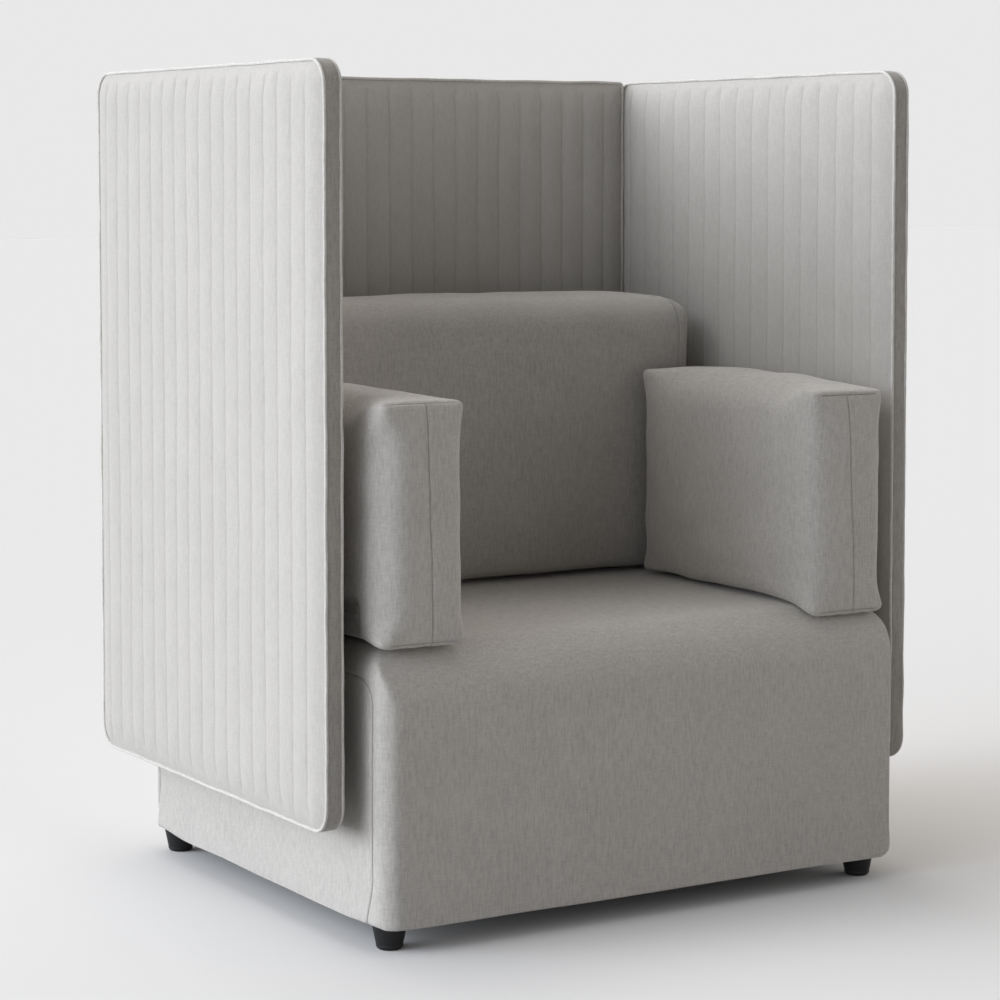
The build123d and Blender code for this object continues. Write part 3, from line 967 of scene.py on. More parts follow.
@dataclass
class UpholsteredBase:
    """Upholstered block with its front roll, side and back panels, inner padding and underside."""

    front_roll: float = 90 * MM
    shoulder: float = 45 * MM
    rear_roll: float = 25 * MM
    upright_corner: float = 20 * MM
    bottom_roll: float = 2.5 * MM
    left_corner_roll: float = 12 * MM
    right_corner_roll: float = 28 * MM
    left_front_corner: float = 36 * MM
    right_front_corner: float = 11 * MM
    blend_radius: float = 6 * MM
    seam_setback: float = 38 * MM
    seam_radius: float = 42 * MM
    seam_sweep: float = 22 * MM
    cover_thickness: float = 1.6 * MM
    seam_depth: float = 1.5 * MM
    seam_spread: float = 2.4 * MM
    panel_corner: float = 6 * MM
    side_reach: float = 14 * MM
    back_reach: float = 8 * MM
    underside_margin: float = 18 * MM
    lining_inset: float = 15 * MM
    low: Vector = field(default_factory=lambda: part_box("seat_wrap_cover")[0])
    high: Vector = field(default_factory=lambda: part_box("seat_wrap_cover")[1])

    def distance(self, points: np.ndarray, inset: float) -> np.ndarray:
        """Signed distance to the soft outer form, negative inside.

        Args:
            points: places to measure at.
            inset: how far the form is drawn in.

        Returns:
            One distance for each point.
        """
        x, y, z = points.T
        low = np.array(self.low) + inset
        high = np.array(self.high) - inset
        middle = (low[2] + high[2]) / 2
        front_side = y < (low[1] + high[1]) / 2
        roll = np.where(front_side, self.front_roll, self.rear_roll)
        side = rounded_distance(
            y, z, (low[1], low[2]), (high[1], high[2]),
            np.where(z > middle, roll, self.bottom_roll) - inset,
        )
        from_end = np.minimum(y - low[1], high[1] - y)
        corner = np.where(x > 0, self.right_corner_roll, self.left_corner_roll) - self.bottom_roll
        near_end = 1 - smooth_step(from_end, 10 * MM, 130 * MM)
        lower = self.bottom_roll + corner * near_end
        across = rounded_distance(
            x, z, (low[0], low[2]), (high[0], high[2]),
            np.where(z > middle, self.shoulder, lower) - inset,
        )
        front_roll = np.where(x > 0, self.right_front_corner, self.left_front_corner)
        plan_roll = np.where(front_side, front_roll, self.upright_corner)
        plan = rounded_distance(x, y, (low[0], low[1]), (high[0], high[1]), plan_roll - inset)
        above_floor_edge = smooth_step(z - low[2], 0.0, 60 * MM)
        blend = self.blend_radius * (0.25 + 0.75 * above_floor_edge)
        return smooth_max(smooth_max(side, across, blend), plan, blend)

    def formed(self, fine: bool, inset: float) -> Shape:
        """Skin of the soft form.

        Args:
            fine: whether the seams have to show.
            inset: how far the form is drawn in.

        Returns:
            The skin.
        """
        edge = np.array([self.upright_corner, self.upright_corner, self.shoulder])
        core_low = np.array(self.low) + self.shoulder
        core_high = np.array(self.high) - edge
        shell = box_shell(*self.lines(fine))
        return moulded(shell, lambda points: self.distance(points, inset), core_low, core_high, 1.0)

    def lines(self, fine: bool) -> list[np.ndarray]:
        """Places of the grid lines along X, Y and Z, closer where seams and rolls are.

        Args:
            fine: whether the seams have to show.

        Returns:
            Three arrays of places.
        """
        wide, close, seam = (9 * MM, 4 * MM, 2 * MM) if fine else (30 * MM, 15 * MM, 15 * MM)
        half, front, rear = self.high.x, self.low.y, self.high.y
        bottom, top = self.low.z, self.high.z
        right = [
            (0.0, half - 50 * MM, wide), (half - 50 * MM, half - 26 * MM, close),
            (half - 26 * MM, half - 14 * MM, seam), (half - 14 * MM, half, close),
        ]
        right_lines = line_places(0.0, half, right)
        xs = np.concatenate([-right_lines[:0:-1], right_lines])
        ys = line_places(front, rear, [
            (front, front + 16 * MM, close), (front + 16 * MM, front + 68 * MM, seam),
            (front + 68 * MM, front + 130 * MM, close), (front + 130 * MM, rear - 40 * MM, wide),
            (rear - 40 * MM, rear, close),
        ])
        zs = line_places(bottom, top, [
            (bottom, bottom + 60 * MM, close), (bottom + 60 * MM, top - 92 * MM, wide),
            (top - 92 * MM, top - 38 * MM, seam), (top - 38 * MM, top, close),
        ])
        return [xs, ys, zs]

    def side_seam(self, points: np.ndarray) -> np.ndarray:
        """Distance to the seam round each side panel, negative on the panel."""
        _, y, z = points.T
        sweep = self.seam_sweep * (1 - smooth_step(z, self.low.z - 20 * MM, self.low.z + 75 * MM))
        front = self.low.y + self.seam_setback
        rear = self.high.y - self.upright_corner
        top = self.high.z - self.shoulder
        radius = np.where(y < 0, self.seam_radius, self.panel_corner)
        return rounded_distance(y - sweep, z, (front, -top), (rear, top), radius)

    def back_seam(self, points: np.ndarray) -> np.ndarray:
        """Distance to the seam round the back panel, negative on the panel."""
        x, y, z = points.T
        half = self.high.x - self.upright_corner
        top = self.high.z - self.rear_roll
        found = rounded_distance(x, z, (-half, -top), (half, top), self.panel_corner)
        return np.where(y > self.high.y - self.back_reach, found, NO_SEAM)

    def skin(self) -> Shape:
        """Whole soft skin with its seams pressed in."""
        skin = self.formed(fine=True, inset=0.0)
        side, back = self.side_seam(skin.points), self.back_seam(skin.points)
        absent = np.full(len(side), NO_SEAM)
        side = np.where(np.abs(skin.points[:, 0]) > self.high.x - self.side_reach, side, NO_SEAM)
        crease = bell(side, self.seam_spread) + bell(back, self.seam_spread)
        lip = bell(np.abs(side) - 7 * MM, 4 * MM)
        pucker = Ripple(11, (34 * MM, 34 * MM, 26 * MM)).at(skin.points)
        broad = Ripple(12, (260 * MM, 260 * MM, 260 * MM)).at(skin.points)
        clear_of_seat = 1 - smooth_step(skin.points[:, 2], self.high.z - 12 * MM, self.high.z)
        pucker_height, broad_height = 0.25 * MM, 0.5 * MM
        push = -self.seam_depth * crease + pucker_height * lip * (1 + pucker)
        push += broad_height * broad * clear_of_seat - broad_height
        skin.seams = np.stack([side, back, absent], axis=1)
        return skin.pushed(push)

    def build(self) -> None:
        """Makes the covers, the padding inside them and the underside."""
        skin = self.skin()
        centres = skin.points[np.array(skin.faces)].mean(axis=1)
        margin = self.underside_margin
        underside = (
            (centres[:, 2] < self.low.z + 4 * MM)
            & (np.abs(centres[:, 0]) < self.high.x - margin)
            & (centres[:, 1] > self.low.y + margin)
            & (centres[:, 1] < self.high.y - margin)
        )
        on_side = (np.abs(centres[:, 0]) > self.high.x - self.side_reach) & (self.side_seam(centres) < 0)
        on_back = self.back_seam(centres) < 0
        left = on_side & (centres[:, 0] < 0) & ~underside
        right = on_side & (centres[:, 0] > 0) & ~underside
        back = on_back & ~on_side & ~underside
        wrap = ~(on_side | back | underside)
        for keep, name, node in (
            (wrap, "seat_wrap", "seat_wrap_cover"),
            (left, "base_side_panel_left", "base_side_cover_left"),
            (right, "base_side_panel_right", "base_side_cover_right"),
            (back, "base_back_panel", "base_back_cover"),
        ):
            shell = skin.part(keep).thickened(self.cover_thickness)
            made = shell.piece(name, SEAT_CLOTH, "base", "seat_fabric", node)
        self.build_padding()
        self.build_underside()

    def build_padding(self) -> None:
        """Padding under the covers: foam over the seat, wadding round the frame."""
        form = self.formed(fine=False, inset=4 * MM)
        centres = form.points[np.array(form.faces)].mean(axis=1)
        seat_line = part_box("seat_foam")[0].z
        above = centres[:, 2] > seat_line
        below = ~above & (centres[:, 2] > self.low.z + 8 * MM)
        foam = form.part(above).thickened(18 * MM)
        foam.piece("seat_padding", FOAM, "base", "foam", "seat_foam")
        wadding = form.part(below).thickened(4 * MM)
        wadding.piece("frame_padding", WADDING, "base", "foam", "base_padding")

    def build_underside(self) -> None:
        """Thin black cloth stapled under the frame, with a turned edge."""
        inset, columns, rows = self.lining_inset, 60, 50
        turned_edge, greatest_sag, thickness = 0.6 * MM, 0.5 * MM, 0.5 * MM
        low, high = self.low, self.high
        xs = np.linspace(low.x + inset, high.x - inset, columns)
        ys = np.linspace(low.y + inset, high.y - inset, rows)
        grid = np.stack(np.meshgrid(xs, ys, indexing="ij"), axis=-1).reshape(-1, 2)
        from_edge = np.minimum(
            np.minimum(grid[:, 0] - xs[0], xs[-1] - grid[:, 0]),
            np.minimum(grid[:, 1] - ys[0], ys[-1] - grid[:, 1]),
        )
        flat = np.column_stack([grid, np.full(len(grid), low.z)])
        waves = Ripple(14, (90 * MM, 70 * MM, 1.0)).at(flat)
        sag = greatest_sag / 2 * (1 + waves) * smooth_step(from_edge, 0, 50 * MM)
        flat[:, 2] += turned_edge - np.clip(sag, 0.0, greatest_sag)
        sheet = Shape(flat, grid_faces(columns, rows)[:, ::-1].tolist()).thickened(thickness)
        made = sheet.piece("dust_cloth", LINING, "base", "lining", "dust_cover")


# ---------------------------------------------------------------------------
# Screens
# ---------------------------------------------------------------------------


class Side(Enum):
    """The three screens, with the direction that each one's outer face looks in."""

    LEFT = ("left", (-1, 0, 0), (0, 1, 0))
    RIGHT = ("right", (1, 0, 0), (0, -1, 0))
    BACK = ("back", (0, 1, 0), (1, 0, 0))

    def __init__(self, label: str, outward: tuple, along: tuple) -> None:
        """Keeps the label and directions.

        Args:
            label: first word of the names of its nodes.
            outward: direction that the outer face looks in.
            along: direction in which the screen is drawn.
        """
        self.label = label
        self.outward = np.array(outward, float)
        self.along = np.array(along, float)


@dataclass
class QuiltedScreen:
    """Upright screen: quilted cloth on both faces, a plain border and a piping on each edge of it."""

    side: Side
    corner_radius: float
    outer_channels: int
    inner_channels: int
    half_core: float = 10 * MM
    face_inset: float = 4.6 * MM
    rim: float = 1.6 * MM
    full: float = 13 * MM
    pillow_width: float = 68 * MM
    pillow_power: float = 3.4
    channel_depth: float = 2.6 * MM
    crease_depth: float = 0.35 * MM
    crease_width: float = 2.0 * MM
    piping_radius: float = 2.5 * MM
    sway_at_ends: float = 1.6 * MM
    sway_between: float = 0.35 * MM
    pleat_height: float = 0.45 * MM
    seed: int = 1

    def __post_init__(self) -> None:
        """Reads the screen's place and size from its packed border."""
        low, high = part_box(f"{self.side.label}_screen_border")
        self.middle = np.array((low + high) / 2)
        size = np.array(high - low)
        self.length = float(np.abs(size @ self.side.along))
        self.height = float(size[2])

    def placed(self, along: np.ndarray, out: np.ndarray, up: np.ndarray) -> np.ndarray:
        """Points of the screen in the frame of the chair.

        Args:
            along: distance from the middle along the screen.
            out: distance from the middle plane, towards the outer face.
            up: height from the middle.

        Returns:
            One point for each.
        """
        points = self.middle + along[:, None] * self.side.along + out[:, None] * self.side.outward
        points[:, 2] += up
        return points

    def edge_path(self, inset: float, step: float = 8 * MM) -> tuple[np.ndarray, np.ndarray]:
        """Path round the screen's edge.

        Args:
            inset: how far it lies inside the edge.
            step: distance between points on the straight stretches.

        Returns:
            Points (along, up) and the directions away from the middle at them.
        """
        half = np.array([self.length / 2, self.height / 2]) - inset
        radius = max(self.corner_radius - inset, 1 * MM)
        points, directions = [], []
        corners = ((1, 1), (-1, 1), (-1, -1), (1, -1))
        for quarter, corner in enumerate(corners):
            centre = (half - radius) * np.array(corner)
            turns = np.radians(quarter * 90 + np.linspace(0, 90, 11))
            ray = np.stack([np.cos(turns), np.sin(turns)], axis=1)
            points += list(centre + ray * radius)
            directions += list(ray)
            way = (half - radius) * np.array(corners[(quarter + 1) % 4]) - centre
            count = int(np.abs(way).sum() / step)
            for share in np.linspace(0, 1, count + 1)[1:-1]:
                points.append(centre + way * share + ray[-1] * radius)
                directions.append(ray[-1])
        return np.array(points), np.array(directions)

    def column_places(self, channels: int) -> tuple[np.ndarray, np.ndarray]:
        """Columns of the quilted face, close together beside each sewn line.

        Args:
            channels: number of channels.

        Returns:
            Place of each column along the screen, and its distance to the nearest sewn line.
        """
        half = self.length / 2 - self.face_inset
        pitch = 2 * half / channels
        shares = np.array([0.0, 0.03, 0.07, 0.13, 0.22, 0.35, 0.5, 0.65, 0.78, 0.87, 0.93, 0.97])
        places = (np.arange(channels)[:, None] + shares[None, :]).ravel() * pitch - half
        to_line = np.minimum(shares, 1 - shares)[None, :] * pitch
        to_line = np.repeat(to_line, channels, axis=0).ravel()
        places, to_line = np.append(places, half), np.append(to_line, 0.0)
        from_side = half - np.abs(places)
        first = from_side < pitch * 0.999
        to_line = np.where(first, pitch - from_side, to_line)
        return places, to_line

    def quilted(self, channels: int, outer: bool) -> Shape:
        """Quilted face, closed at the back.

        Args:
            channels: number of sewn channels.
            outer: whether it is the outer face.

        Returns:
            The closed face.
        """
        places, to_line = self.column_places(channels)
        half_a, half_z = self.length / 2 - self.face_inset, self.height / 2 - self.face_inset
        levels = self.row_places(half_z)
        columns, rows = len(places), len(levels)
        line = np.repeat(to_line, rows)
        a = np.repeat(places, rows)
        b = self.rounded_off(a, np.tile(levels, columns), half_a, half_z)
        radius = self.corner_radius - self.face_inset
        depth = -rounded_distance(a, b, (-half_a, -half_z), (half_a, half_z), radius)
        from_top = half_z - np.abs(b)
        flat = self.placed(a, np.zeros(len(a)), b)
        seed = self.seed * 10 + (0 if outer else 5)
        sway = Ripple(seed, (60 * MM, 60 * MM, 70 * MM)).at(flat)
        fan = (1 - smooth_step(from_top, 6 * MM, 60 * MM)) * self.sway_at_ends + self.sway_between
        a = a + sway * fan * smooth_step(half_a - np.abs(a), 4 * MM, 30 * MM)
        present = smooth_step(from_top, 4 * MM, 26 * MM) * smooth_step(depth, 4 * MM, 26 * MM)
        crown = np.clip(1 - line * channels / half_a, 0.0, 1.0)
        rise = 1 - (1 - np.clip(depth / self.pillow_width, 0, 1)) ** self.pillow_power
        out = self.rim + (self.full - self.rim) * rise
        out -= self.channel_depth * crown**1.8 * present
        out -= self.crease_depth * bell(line, self.crease_width) * present
        pleat = Ripple(seed + 1, (17 * MM, 17 * MM, 80 * MM)).at(flat)
        gather = bell(from_top - 17 * MM, 11 * MM) * smooth_step(depth, 2 * MM, 12 * MM)
        out += self.pleat_height * pleat * gather
        out += 0.4 * MM * Ripple(seed + 2, (180 * MM, 180 * MM, 320 * MM)).at(flat) * rise
        out += 0.16 * MM * Ripple(seed + 3, (42 * MM, 42 * MM, 60 * MM)).at(flat) * rise
        sewn = np.where(present > 0.05, np.maximum(line, (1 - present) * 3 * MM), NO_SEAM)
        return self.backed(a, out, b, rows, sewn, 1.0 if outer else -1.0)

    @staticmethod
    def row_places(half: float) -> np.ndarray:
        """Rows of the quilted face, close together at its ends.

        Args:
            half: half the height of the face.

        Returns:
            Height of each row from the middle.
        """
        near = np.array([0, 1.5, 3.5, 6, 9, 12.5, 16.5, 21, 26, 32, 39, 47, 56]) * MM
        between = np.linspace(-half + 65 * MM, half - 65 * MM, 105)
        return np.concatenate([-half + near, between, half - near[::-1]])

    def rounded_off(self, a: np.ndarray, b: np.ndarray, half_a: float, half_b: float) -> np.ndarray:
        """Heights drawn in so that the corners of the face are round.

        Args:
            a: places along the screen.
            b: heights from the middle.
            half_a: half the length of the face.
            half_b: half the height of the face.

        Returns:
            The new heights.
        """
        radius = self.corner_radius - self.face_inset
        past = np.maximum(np.abs(a) - (half_a - radius), 0.0)
        limit = half_b - radius + np.sqrt(np.maximum(radius**2 - past**2, 0.0))
        start = half_b - 2 * radius
        squeezed = start + (np.abs(b) - start) * (limit - start) / (half_b - start)
        return np.sign(b) * np.where(np.abs(b) > start, squeezed, np.abs(b))

    def backed(
        self, a: np.ndarray, out: np.ndarray, b: np.ndarray, rows: int, sewn: np.ndarray, sign: float
    ) -> Shape:
        """Closes the quilted face with a flat back.

        Args:
            a: places along the screen, column by column.
            out: height of the face above the core at each place.
            b: heights from the middle.
            rows: number of points in a column.
            sewn: distance to the nearest sewn line.
            sign: 1 for the outer face, -1 for the inner.

        Returns:
            The closed face, with its seams.
        """
        count = len(a)
        index = np.arange(count).reshape(-1, rows)
        loop = np.concatenate([index[:-1, 0], index[-1, :-1], index[:0:-1, -1], index[0, :0:-1]])
        front = self.placed(a, sign * (self.half_core + out), b)
        back = self.placed(a[loop], np.full(len(loop), sign * self.half_core), b[loop])
        ring = count + np.arange(len(loop))
        walls = np.stack([loop, ring, np.roll(ring, -1), np.roll(loop, -1)], axis=1)
        sheet = grid_faces(len(index), rows)
        outwards = np.dot(np.cross(self.side.along, (0, 0, 1)), self.side.outward) * sign > 0
        order = slice(None) if outwards else slice(None, None, -1)
        faces = sheet[:, order].tolist() + walls[:, order].tolist()
        faces.append(ring.tolist()[::-1] if outwards else ring.tolist())
        absent = np.full(count, NO_SEAM)
        seams = np.stack([sewn, absent, absent], axis=1)
        seams = np.concatenate([seams, np.full((len(loop), 3), NO_SEAM)])
        return Shape(np.concatenate([front, back]), faces, seams)

    def border(self) -> Shape:
        """Strip of cloth round the edge, drawn in a little where it is sewn to the pipings."""
        profile = np.array([
            (-2.9, -10.6), (-1.9, -11.0), (-1.2, -9.2), (-0.7, -6.0), (-0.4, 0.0), (-0.7, 6.0), (-1.2, 9.2),
            (-1.9, 11.0), (-2.9, 10.6), (-2.7, 0.0),
        ]) * MM
        path, away = self.edge_path(0.0)
        centre = self.placed(path[:, 0], np.zeros(len(path)), path[:, 1])
        outward = self.placed(away[:, 0], np.zeros(len(path)), away[:, 1]) - self.middle
        ring = swept_loop(centre, outward, self.side.outward, profile)
        wave = Ripple(self.seed + 40, (60 * MM, 12 * MM, 60 * MM)).at(ring.points)
        skin = np.tile(profile[:, 0] > -1.5 * MM, len(path))
        away_all = np.repeat(outward, len(profile), axis=0)
        ring.points += away_all * (0.16 * MM * (wave - 1.0) * skin)[:, None]
        return ring

    def piping(self, sign: float) -> Shape:
        """Cord in cloth along one edge of the border, a little uneven as sewn piping is.

        Args:
            sign: 1 for the outer face, -1 for the inner.

        Returns:
            The closed cord.
        """
        turns = np.linspace(0, 2 * math.pi, 10, endpoint=False)
        profile = np.stack([np.cos(turns), np.sin(turns)], axis=1) * self.piping_radius
        path, away = self.edge_path(self.piping_radius, 7 * MM)
        count = len(path)
        out = np.full(count, sign * (self.half_core + self.piping_radius))
        centre = self.placed(path[:, 0], out, path[:, 1])
        outward = self.placed(away[:, 0], np.zeros(count), away[:, 1]) - self.middle
        wobble = Ripple(self.seed + 50 + int(sign), (90 * MM, 90 * MM, 90 * MM)).at(centre)
        sink = Ripple(self.seed + 60 + int(sign), (70 * MM, 70 * MM, 70 * MM)).at(centre)
        centre = centre - outward * (0.3 * MM * (1 + wobble))[:, None]
        centre = centre + self.side.outward * (0.25 * MM * sink)[:, None]
        return swept_loop(centre, outward, self.side.outward, profile)

    def build(self) -> None:
        """Makes the two faces, the border and the pipings."""
        label = self.side.label
        for face, channels in (("outer", self.outer_channels), ("inner", self.inner_channels)):
            shape = self.quilted(channels, face == "outer")
            node = f"{label}_screen_{face}_cover"
            made = shape.piece(f"{label}_screen_{face}_quilt", SCREEN_CLOTH, "base", "screen_fabric", node)
        border = self.border()
        border.piece(f"{label}_screen_edge", BORDER_CLOTH, "base", "border_fabric", f"{label}_screen_border")
        cords = joined([self.piping(1.0), self.piping(-1.0)])
        cords.piece(f"{label}_screen_cords", PIPING_CLOTH, "base", "piping_fabric", f"{label}_screen_piping")


# ---------------------------------------------------------------------------
# Loose cushions
# ---------------------------------------------------------------------------


@dataclass
class LooseCushion:
    """Loose cushion whose cloth is blown up by simulation, then sewn, seated and pressed to its zip."""

    label: str
    voxel: float
    crown: Vector
    spare_low: Vector
    spare_high: Vector
    cap: float = 5 * MM
    pull: float = 0.5 * MM
    pressure: float = 4.0
    frames: int = 20
    aside_share: float = 0.4
    evening_rounds: int = 60
    edge_blend: float = 6 * MM
    seam_depth: float = 0.9 * MM
    seam_spread: float = 2.6 * MM
    pucker_height: float = 0.3 * MM
    wrinkle_height: float = 0.6 * MM
    filling_gap: float = 3 * MM
    seed: int = 70

    def __post_init__(self) -> None:
        """Reads the cushion's place and size from its packed cover."""
        self.low, self.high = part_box(f"{self.label}_cushion_cover")
        self.base = UpholsteredBase()

    def edges(self, points: np.ndarray) -> tuple:
        """Radii of the cushion's edges. Each kind of cushion has its own.

        Args:
            points: places to measure at.

        Returns:
            Radii of the edges along Y, along X and along Z at each place.
        """
        raise NotImplementedError

    def distance(self, points: np.ndarray) -> np.ndarray:
        """Signed distance to the crowned form of the empty cover, negative inside."""
        low, high = self.low - self.spare_low, self.high + self.spare_high
        centre = np.array(low + high) / 2
        half = np.array(high - low) / 2
        share = np.clip((points - centre) / half, -1.0, 1.0)
        swell = 1 - np.abs(share) ** 3
        grown = [half[i] + self.crown[i] * swell[:, (i + 1) % 3] * swell[:, (i + 2) % 3] for i in range(3)]
        low = [centre[i] - grown[i] for i in range(3)]
        high = [centre[i] + grown[i] for i in range(3)]
        x, y, z = points.T
        along_y, along_x, along_z = self.edges(points)
        ends = rounded_distance(x, z, (low[0], low[2]), (high[0], high[2]), along_y)
        sides = rounded_distance(y, z, (low[1], low[2]), (high[1], high[2]), along_x)
        plan = rounded_distance(x, y, (low[0], low[1]), (high[0], high[1]), along_z)
        return smooth_max(smooth_max(ends, sides, self.edge_blend), plan, self.edge_blend)

    def blank(self) -> bpy.types.Object:
        """Cut and sewn cover before it is blown up."""
        low, high = np.array(self.low), np.array(self.high)
        core, spacing, stretch = 30 * MM, 8 * MM, 2.5
        steps = [np.linspace(low[i], high[i], round((high[i] - low[i]) / spacing)) for i in range(3)]
        shell = moulded(box_shell(*steps), self.distance, low + core, high - core, stretch)
        mesh = bpy.data.meshes.new("blank")
        mesh.from_pydata(shell.points.tolist(), [], shell.faces)
        made = bpy.data.objects.new("blank", mesh)
        bpy.context.scene.collection.objects.link(made)
        remesh = made.modifiers.new("remesh", "REMESH")
        remesh.mode = "VOXEL"
        remesh.voxel_size = self.voxel
        return made

    def filled(self) -> Shape:
        """Simulated cushion. Points may go out as far as the cap, and in by only a little."""
        made = self.blank()
        start = shape_of(made)
        made.modifiers.clear()
        mesh = bpy.data.meshes.new("filling")
        mesh.from_pydata(start.points.tolist(), [], start.faces)
        made.data = mesh
        travel = self.simulated(made) - start.points
        outward = start.normals()
        out = (travel * outward).sum(axis=1)
        aside = travel - outward * out[:, None]
        most = np.where(out > 0, self.cap, self.pull)
        kept = outward * (most * np.tanh(out / most))[:, None]
        travel = self.evened(kept + self.aside_share * aside, start.faces, self.evening_rounds)
        mesh.vertices.foreach_set("co", (start.points + travel).astype(np.float32).ravel())
        mesh.update()
        smooth = made.modifiers.new("smooth", "SUBSURF")
        smooth.levels = 1
        found = shape_of(made)
        bpy.data.objects.remove(made)
        return found

    @staticmethod
    def evened(field: np.ndarray, faces: list, rounds: int) -> np.ndarray:
        """Spreads values over neighbouring points, so that no sharp change is left.

        Args:
            field: one row of values for each point.
            faces: faces that join the points.
            rounds: how many times each point takes the mean of its neighbours.

        Returns:
            The evened values.
        """
        edges = np.array([pair for face in faces for pair in zip(face, face[1:] + face[:1])])
        first, second = edges.T
        count = np.maximum(np.bincount(first, minlength=len(field)), 1)
        for _ in range(rounds):
            means = [np.bincount(first, part[second], len(field)) / count for part in field.T]
            field = (field + np.stack(means, axis=1)) / 2
        return field

    def simulated(self, made: bpy.types.Object) -> np.ndarray:
        """Blows the cover up with air pressure.

        Args:
            made: object with the unfilled mesh.

        Returns:
            Points after the last frame.
        """
        cloth = made.modifiers.new("cloth", "CLOTH")
        settings = cloth.settings
        settings.quality = 4
        settings.use_pressure = True
        settings.uniform_pressure_force = self.pressure
        settings.effector_weights.gravity = 0.0
        settings.tension_stiffness = 12.0
        settings.compression_stiffness = 12.0
        settings.shear_stiffness = 6.0
        settings.bending_stiffness = 0.6
        cloth.collision_settings.use_collision = False
        scene = bpy.context.scene
        scene.frame_start, scene.frame_end = 1, self.frames
        cloth.point_cache.frame_start, cloth.point_cache.frame_end = 1, self.frames
        for number in range(1, self.frames + 1):
            scene.frame_set(number)
        found = shape_of(made).points
        made.modifiers.clear()
        scene.frame_set(1)
        return found

    def seated(self, shape: Shape) -> Shape:
        """Presses the cushion flat on what it rests on, and draws the front over the seat's roll.

        Args:
            shape: filled cushion.

        Returns:
            The seated cushion.
        """
        soft, clearance = 6 * MM, 0.2 * MM
        points = shape.points
        roll = self.base.front_roll
        ahead = np.maximum(self.base.low.y + roll - points[:, 1], 0.0)
        surface = self.low.z - (roll - np.sqrt(np.maximum(roll**2 - ahead**2, 0.0)))
        gap = points[:, 2] - surface
        lifted = surface + soft * np.log1p(np.exp(np.clip(gap / soft, -30, 30)))
        points[:, 2] = np.where(gap > 5 * soft, points[:, 2], lifted) + clearance
        return shape

    def sewn(self, shape: Shape) -> Shape:
        """Adds the seams. Each kind of cushion has its own.

        Args:
            shape: seated cushion.

        Returns:
            The sewn cushion.
        """
        raise NotImplementedError

    def creased(self, shape: Shape, seams: np.ndarray) -> Shape:
        """Presses creases into the cloth along its seams.

        Args:
            shape: cushion without creases.
            seams: three distances for each point, one for each kind of seam.

        Returns:
            The creased cushion, which keeps the distances for its finish.
        """
        crease = bell(seams, self.seam_spread).max(axis=1)
        lip = bell(np.abs(seams) - 6 * MM, 4 * MM).max(axis=1)
        pucker = Ripple(self.seed, (22 * MM, 22 * MM, 22 * MM)).at(shape.points)
        wrinkle = Ripple(self.seed + 1, (120 * MM, 120 * MM, 90 * MM)).at(shape.points)
        push = -self.seam_depth * crease + self.pucker_height * lip * (1 + pucker)
        push += self.wrinkle_height * wrinkle
        shape.seams = seams
        return shape.pushed(push)

    def pressed_to_zip(self, shape: Shape) -> Shape:
        """Holds the cloth flat behind the zip.

        Args:
            shape: sewn cushion.

        Returns:
            The cushion with its zip lying on it.
        """
        held, free, reach, gap = 4 * MM, 34 * MM, 26 * MM, 0.15 * MM
        low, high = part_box(f"{self.label}_cushion_zip")
        points = shape.points
        size = np.array(high - low)
        axis = int(np.argmin(size))
        outer_side = float((low + high)[axis]) > float((self.low + self.high)[axis])
        plane = low[axis] if outer_side else high[axis]
        along = int(np.argmax(size))
        beside = np.abs(points[:, 2] - (low.z + high.z) / 2) - size[2] / 2
        past = np.abs(points[:, along] - (low[along] + high[along]) / 2) - size[along] / 2
        away = np.hypot(np.maximum(beside, 0), np.maximum(past, 0))
        share = 1 - smooth_step(away, held, free)
        near = np.abs(points[:, axis] - plane) < reach
        inset = -gap if outer_side else gap
        moved = points[:, axis] + (plane + inset - points[:, axis]) * share
        points[:, axis] = np.where(near, moved, points[:, axis])
        return shape

    def build(self) -> None:
        """Makes the cover and the filling inside it."""
        shape = self.pressed_to_zip(self.sewn(self.seated(self.filled())))
        body = f"{self.label}_cushion"
        cover = shape.piece(f"{self.label}_cushion_case", CUSHION_CLOTH, body, "cushion_fabric",
                            f"{self.label}_cushion_cover")
        filling = Shape(shape.points, shape.faces).pushed(-self.filling_gap)
        inner = filling.piece(f"{self.label}_cushion_filling", WADDING, body, "foam",
                              f"{self.label}_cushion_core")


@dataclass
class BackCushion(LooseCushion):
    """Wide cushion behind the sitter, with an end panel sewn in at each side."""

    end_panel: float = 23 * MM
    front_top_edge: float = 56 * MM
    rear_top_edge: float = 46 * MM
    end_top_edge: float = 42 * MM
    small_edge: float = 22 * MM

    def edges(self, points: np.ndarray) -> tuple:
        """Radii of the edges: large along the top, smaller round the end panels."""
        _, y, z = points.T
        upper = z > (self.low.z + self.high.z) / 2
        front = y < (self.low.y + self.high.y) / 2
        top = np.where(front, self.front_top_edge, self.rear_top_edge)
        along_x = np.where(upper, top, self.small_edge)
        along_y = np.where(upper, self.end_top_edge, self.small_edge)
        return along_y, along_x, self.small_edge

    def sewn(self, shape: Shape) -> Shape:
        """Adds a seam round each end panel."""
        points = shape.points
        ends = np.abs(points[:, 0]) - (self.high.x - self.end_panel)
        absent = np.full(len(points), NO_SEAM)
        return self.creased(shape, np.stack([ends, absent, absent], axis=1))


